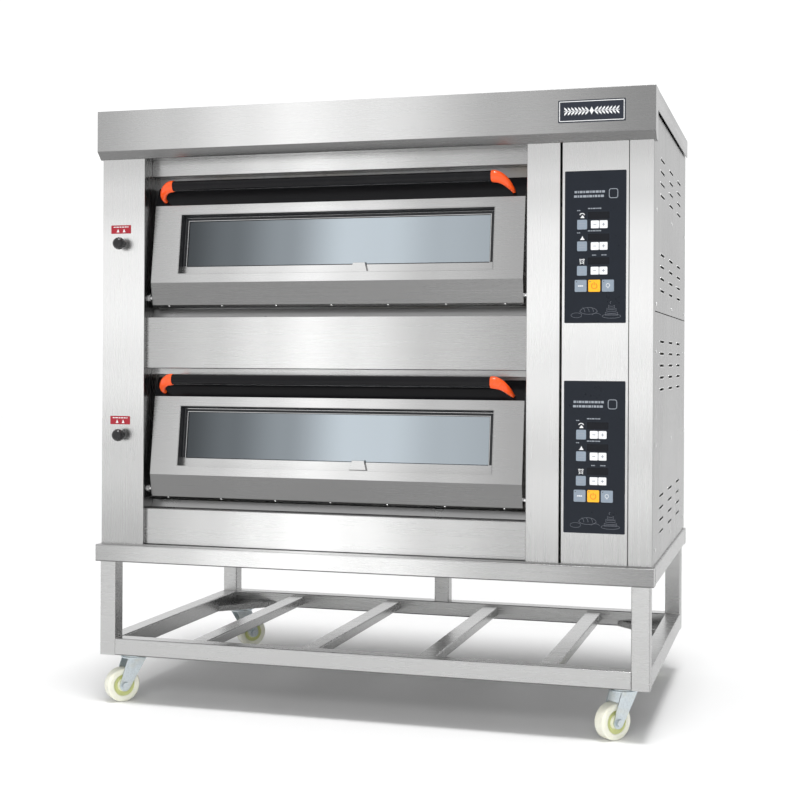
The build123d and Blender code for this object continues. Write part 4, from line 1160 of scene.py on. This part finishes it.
class OVEN_OT_panel_prints(bpy.types.Operator):
    """Print both control panels and put faces on their small keys"""

    bl_idname = "oven.panel_prints"
    bl_label = "Panel Prints"

    def execute(self, context):
        low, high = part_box("control_overlays")
        pitch = middle("upper_power_key").z - middle("lower_power_key").z
        film = low.y + 0.4 * MM
        for deck, top in (("lower", high.z - pitch), ("upper", high.z)):
            place = front_place((low.x, film, top))
            for name, work, material in (
                ("marks", print_marks, "pale_ink"),
                ("symbols", print_symbols, "white_ink"),
                ("picture", print_drawing, "line_ink"),
            ):
                mesh = bmesh.new()
                work(mesh, place)
                piece(mesh, f"{deck}_panel_{name}", MAIN_BODY, MATERIALS[material])
            mesh = bmesh.new()
            for y in DISPLAY_ROWS:
                outline = rounded(70.0 * MM, -y * MM, 44.0 * MM, 14.5 * MM, 1.5 * MM)
                prism(mesh, place, outline, INK_ROOT, 0.10 * MM)
            piece(mesh, f"{deck}_panel_displays", MAIN_BODY, MATERIALS["display"])
            mesh = bmesh.new()
            caps(mesh, place, [(GREY_PAD, y) for y in ROWS], (20.4, 19.9, 2.2))
            piece(mesh, f"{deck}_grey_pads", MAIN_BODY, MATERIALS["grey_key"])
            mesh = bmesh.new()
            caps(mesh, place, [(x, y) for y in ROWS for x in WHITE_PADS], (16.4, 15.9, 1.7))
            piece(mesh, f"{deck}_white_pads", MAIN_BODY, MATERIALS["white_key"])
            pads = (place[0] + 0.5 * MM * FORWARD, *place[1:])
            mesh = bmesh.new()
            for y in ROWS:
                for x in WHITE_PADS:
                    panel_print(mesh, pads, "line", ((x - 3.2, y), (x + 3.2, y)), 1.5)
                panel_print(mesh, pads, "line", ((WHITE_PADS[1], y - 3.2), (WHITE_PADS[1], y + 3.2)), 1.5)
                bars(mesh, pads, 30.0, y - 3.0, (4.4, 2.4, 3.2), 1.6, 0.9)
                bars(mesh, pads, 30.0, y + 2.0, (3.0, 4.6, 2.0), 1.6, 0.9)
            piece(mesh, f"{deck}_pad_marks", MAIN_BODY, MATERIALS["pale_ink"])
        return {"FINISHED"}


class OVEN_OT_key_marks(bpy.types.Operator):
    """Print the marks on the six travelling keys"""

    bl_idname = "oven.key_marks"
    bl_label = "Key Marks"

    def execute(self, context):
        for deck in DECKS:
            for key, material in (("mode", "white_ink"), ("power", "power_ink"), ("lamp", "white_ink")):
                name = f"{deck}_{key}_key"
                low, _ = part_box(name)
                centre = middle(name)
                place = front_place((centre.x, low.y, centre.z))
                mesh = bmesh.new()
                if key == "power":
                    panel_print(mesh, place, "line", arc(0, 0.5, 5.6, -5.6, 118, 422, 28), 1.7)
                    panel_print(mesh, place, "line", ((0, -7.2), (0, -1.2)), 1.7)
                elif key == "mode":
                    bars(mesh, place, -5.2, -1.0, (3.0, 3.6, 2.4), 2.4, 0.7)
                else:
                    panel_print(mesh, place, "loop", circle(0, -0.6, 3.6, 22), 0.9)
                    panel_print(mesh, place, "line", ((-1.6, 4.6), (1.6, 4.6)), 0.9)
                piece(mesh, f"{name}_mark", f"{deck}_{key}_button", MATERIALS[material])
                mesh = bmesh.new()
                panel_print(mesh, place, "patch", circle(-8.6, -8.6, 1.3, 12)[::-1])
                piece(mesh, f"{name}_lamp_dot", f"{deck}_{key}_button", MATERIALS["dark_ink"])
        return {"FINISHED"}


class OVEN_OT_nameplate(bpy.types.Operator):
    """Give the nameplate a raised border and a wheat-ear ornament"""

    bl_idname = "oven.nameplate"
    bl_label = "Nameplate"

    def execute(self, context):
        low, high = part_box("nameplate")
        centre = middle("nameplate")
        place = front_place((centre.x, low.y, centre.z))
        width, height = high.x - low.x, high.z - low.z
        mesh = bmesh.new()
        outline = rounded(0, 0, width - 6.0 * MM, height - 6.0 * MM, 1.5 * MM)
        stroke(mesh, place, outline, 1.5 * MM, -0.1 * MM, 0.5 * MM, closed=True)
        for side in (-1, 1):
            for index in range(7):
                x = side * (6.0 + 7.2 * index) * MM
                for tilt in (-1, 1):
                    grain = [
                        (x + a * MM * side, tilt * b * MM)
                        for a, b in ((0, 1.0), (2.5, 4.8), (7.2, 8.6), (6.6, 4.0), (3.4, 1.2))
                    ]
                    prism(mesh, place, grain, -0.1 * MM, 0.5 * MM)
        diamond = [(a * MM, b * MM) for a, b in ((0, 8.0), (4.2, 0), (0, -8.0), (-4.2, 0))]
        prism(mesh, place, diamond, -0.1 * MM, 0.6 * MM)
        stem = width / 2 - 12.0 * MM
        stroke(mesh, place, [(-stem, 0), (stem, 0)], 1.1 * MM, -0.1 * MM, 0.4 * MM)
        piece(mesh, "nameplate_ornament", MAIN_BODY, MATERIALS["white_ink"])
        return {"FINISHED"}


class OVEN_OT_steam_labels(bpy.types.Operator):
    """Print plain marks on the red damper labels"""

    bl_idname = "oven.steam_labels"
    bl_label = "Steam Label Marks"

    def execute(self, context):
        low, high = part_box("steam_labels")
        pitch = middle("upper_power_key").z - middle("lower_power_key").z
        tall = (high.z - low.z - pitch) / MM
        mesh = bmesh.new()
        for top in (high.z, high.z - pitch):
            place = front_place((low.x, low.y, top))
            foot, tip = tall - 3.0, tall / 2 - 1.5
            bars(mesh, place, 6.0, 3.2, (5.0, 7.0, 4.0, 6.0, 5.0, 3.0), 2.0, 1.4)
            for x in (17.0, 32.0):
                panel_print(mesh, place, "patch", ((x - 3.4, foot), (x + 3.4, foot), (x, tip)))
        piece(mesh, "steam_label_marks", MAIN_BODY, MATERIALS["white_ink"])
        return {"FINISHED"}


class OVEN_OT_damper_grips(bpy.types.Operator):
    """Put a fluted grip ring round each damper knob"""

    bl_idname = "oven.damper_grips"
    bl_label = "Damper Grips"

    def execute(self, context):
        steps = context.scene.oven_trim.round_steps
        for deck in DECKS:
            low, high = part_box(f"{deck}_damper_knob")
            centre = middle(f"{deck}_damper_knob")
            origin = Vector((centre.x, low.y, centre.z))
            radius = (high.x - low.x) / 2

            def fluted(angle):
                return radius + 0.5 * MM + 0.45 * MM * cos(16 * angle)

            mesh = bmesh.new()
            first, second = square_to(BACKWARD)
            bands = ((9.4, radius - 0.6 * MM), (10.0, fluted), (15.0, fluted), (15.6, radius - 1.5 * MM))
            rings = [
                ring(origin + along * MM * BACKWARD, first, second, reach, 2 * steps) for along, reach in bands
            ]
            skin(mesh, rings)
            name = f"{deck}_damper_grip"
            piece(mesh, name, f"{deck}_damper", MATERIALS["black"], smooth=60.0)
        return {"FINISHED"}


class OVEN_OT_caster_webs(bpy.types.Operator):
    """Put the coloured centre rings into the caster wheels"""

    bl_idname = "oven.caster_webs"
    bl_label = "Caster Webs"

    def execute(self, context):
        steps = context.scene.oven_trim.round_steps
        section = ((10.1, 15.3), (10.1, 20.8), (13.2, 24.0), (13.9, 24.0), (10.9, 20.4), (10.9, 15.3))
        for corner in CORNERS:
            joint = JOINTS[f"{corner}_spin"]
            centre = middle(f"{corner}_wheel")
            axis = Vector(joint["axis"]).normalized()
            mesh = bmesh.new()
            for way in (axis, -axis):
                profile = [(along * MM, out * MM) for along, out in section]
                turn(mesh, centre, way, profile, steps, closed=True)
            piece(mesh, f"{corner}_wheel_web", f"{corner}_roller", MATERIALS["web"])
        return {"FINISHED"}


PANEL_FACES = (
    ("left_side_panels", 0, LEFT, BACKWARD),
    ("right_side_panels", 0, RIGHT, BACKWARD),
    ("back_panel", 1, BACKWARD, RIGHT),
)
SLOT_TALL = 20.0 * MM  # a cooling slot is never taller than this


class OVEN_OT_slot_rims(bpy.types.Operator):
    """Press a raised rim round every cooling slot"""

    bl_idname = "oven.slot_rims"
    bl_label = "Slot Rims"

    def execute(self, context):
        rim = context.scene.oven_trim.slot_rim
        for name, axis, out, across in PANEL_FACES:
            at_high = out[axis] > 0
            mesh = bmesh.new()
            for box in hole_boxes(name, axis, at_high):
                low, high = Vector(box[:3]), Vector(box[3:])
                long = (high - low).dot(across)
                tall = high.z - low.z
                if not (0.02 < long < 0.2 and tall < SLOT_TALL):
                    continue
                place = ((low + high) / 2, across, UP, out)
                outline = rounded(0, 0, long + rim, tall + rim, (tall + rim) / 2 - 0.1 * MM, 4)
                stroke(mesh, place, outline, rim * 0.7, -0.4 * MM, 0.5 * MM, closed=True)
            if mesh.verts:
                piece(mesh, f"{name}_slot_rims", MAIN_BODY, MATERIALS["bright"])
        return {"FINISHED"}


SCREW_CLEARANCE = 9.0 * MM  # from a screw's centre to the nearest edge of a slot
SCREW_MARGIN = 24.0 * MM  # from a panel's side edge to its screws
SCREW_ROWS = (0.03, 0.25, 0.45, 0.55, 0.75, 0.97)  # shares of the panel's height
SCREW_HEIGHT = 1.6 * MM


def near_slot(point, slots, across):
    """Whether a screw would stand on a slot or crowd its rim."""
    for box in slots:
        low, high = Vector(box[:3]), Vector(box[3:])
        beside = low.dot(across) - SCREW_CLEARANCE < point.dot(across) < high.dot(across) + SCREW_CLEARANCE
        level = low.z - SCREW_CLEARANCE < point.z < high.z + SCREW_CLEARANCE
        if beside and level:
            return True
    return False


class OVEN_OT_panel_screws(bpy.types.Operator):
    """Screw down the side and back panels"""

    bl_idname = "oven.panel_screws"
    bl_label = "Panel Screws"

    def execute(self, context):
        radius = context.scene.oven_trim.screw_radius
        for name, axis, out, across in PANEL_FACES:
            low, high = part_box(name)
            level = high if out[axis] > 0 else low
            slots = [box for box in hole_boxes(name, axis, out[axis] > 0) if box[5] - box[2] < SLOT_TALL]
            mesh = bmesh.new()
            start, end = low.dot(across), high.dot(across)
            for far in (start + SCREW_MARGIN, (start + end) / 2, end - SCREW_MARGIN):
                for share_up in SCREW_ROWS:
                    point = level.dot(out) * out + far * across
                    point.z = low.z + share_up * (high.z - low.z)
                    if near_slot(point, slots, across):
                        continue
                    dome_head(mesh, point, out, radius, SCREW_HEIGHT, 18)
                    slot_place = (point + (SCREW_HEIGHT - 0.05 * MM) * out, across, UP, out)
                    cut = [(-0.4 * radius, 0), (0.4 * radius, 0)]
                    stroke(mesh, slot_place, cut, 0.7 * MM, 0.0, 0.15 * MM)
            piece(mesh, f"{name}_screws", MAIN_BODY, MATERIALS["bright"])
        return {"FINISHED"}


STAND_TUBE = 38.0 * MM
STAND_WALL = 1.5 * MM
LEG_INSET = 8.0 * MM  # legs stand in from the top frame's outline
BEAD_STEP = 2.0 * MM
BEAD_STEPS = 17


class OVEN_OT_stand_welds(bpy.types.Operator):
    """Run weld beads where the legs meet the rails"""

    bl_idname = "oven.stand_welds"
    bl_label = "Stand Welds"

    def execute(self, context):
        bead = context.scene.oven_trim.weld_radius
        low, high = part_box("stand_frame")
        mesh = bmesh.new()
        for level in (low.z + STAND_TUBE, high.z - STAND_TUBE):
            for side, edge_x in ((1, low.x + LEG_INSET), (-1, high.x - LEG_INSET)):
                for end, edge_y in ((1, low.y + LEG_INSET), (-1, high.y - LEG_INSET)):
                    inner_x, inner_y = edge_x + side * STAND_TUBE, edge_y + end * STAND_TUBE
                    runs = (
                        (Vector((inner_x, edge_y + end * 3 * MM, level)), end * BACKWARD),
                        (Vector((edge_x + side * 3 * MM, inner_y, level)), side * RIGHT),
                    )
                    for origin, along in runs:
                        first, second = square_to(along)
                        rings = []
                        for step in range(BEAD_STEPS):
                            reach = bead * (1.0 + 0.18 * (step % 2))
                            rings.append(ring(origin + step * BEAD_STEP * along, first, second, reach, 10))
                        skin(mesh, rings)
        piece(mesh, "stand_welds", MAIN_BODY, MATERIALS["weld"])
        return {"FINISHED"}


class OVEN_OT_stand_end_plates(bpy.types.Operator):
    """Close the ends of the long top rails with welded plates"""

    bl_idname = "oven.stand_end_plates"
    bl_label = "Stand End Plates"

    def execute(self, context):
        low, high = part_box("stand_frame")
        bore = STAND_TUBE - 2 * STAND_WALL
        mesh = bmesh.new()
        for end_x, out in ((low.x, LEFT), (high.x, RIGHT)):
            for centre_y in (low.y + STAND_TUBE / 2, high.y - STAND_TUBE / 2):
                place = (Vector((end_x, centre_y, high.z - STAND_TUBE / 2)), BACKWARD, UP, out)
                prism(mesh, place, rounded(0, 0, bore, bore, STAND_WALL), -2.0 * MM, -0.3 * MM)
        piece(mesh, "stand_end_plates", MAIN_BODY, MATERIALS["stand_steel"])
        return {"FINISHED"}


# ---------------------------------------------------------------- panel, run and registration
OPERATORS = (
    OVEN_OT_build_stage,
    OVEN_OT_finish_nodes,
    OVEN_OT_window_gaskets,
    OVEN_OT_handle_horns,
    OVEN_OT_door_rivets,
    OVEN_OT_panel_prints,
    OVEN_OT_key_marks,
    OVEN_OT_nameplate,
    OVEN_OT_steam_labels,
    OVEN_OT_damper_grips,
    OVEN_OT_caster_webs,
    OVEN_OT_slot_rims,
    OVEN_OT_panel_screws,
    OVEN_OT_stand_welds,
    OVEN_OT_stand_end_plates,
)
SETTINGS = {
    "oven_stage": OvenStageSettings,
    "oven_metal": OvenMetalSettings,
    "oven_plastic": OvenPlasticSettings,
    "oven_trim": OvenTrimSettings,
}


class OVEN_PT_finish(bpy.types.Panel):
    """The oven's operators, in the order in which they run"""

    bl_idname = "OVEN_PT_finish"
    bl_label = "Two-Deck Oven"
    bl_space_type = "VIEW_3D"
    bl_region_type = "UI"
    bl_category = "Oven"

    def draw(self, context):
        for operator in OPERATORS:
            self.layout.operator(operator.bl_idname)
        for name in SETTINGS:
            group = getattr(context.scene, name)
            box = self.layout.box()
            for setting in group.__annotations__:
                box.prop(group, setting)


def register():
    for group in SETTINGS.values():
        bpy.utils.register_class(group)
    for name, group in SETTINGS.items():
        setattr(bpy.types.Scene, name, PointerProperty(type=group))
    for operator in OPERATORS:
        bpy.utils.register_class(operator)
    bpy.utils.register_class(OVEN_PT_finish)


def unregister():
    bpy.utils.unregister_class(OVEN_PT_finish)
    for operator in reversed(OPERATORS):
        bpy.utils.unregister_class(operator)
    for name in SETTINGS:
        delattr(bpy.types.Scene, name)
    for group in reversed(SETTINGS.values()):
        bpy.utils.unregister_class(group)


def main():
    register()
    for operator in OPERATORS:
        group, action = operator.bl_idname.split(".")
        getattr(getattr(bpy.ops, group), action)()


if __name__ == "__main__":
    main()
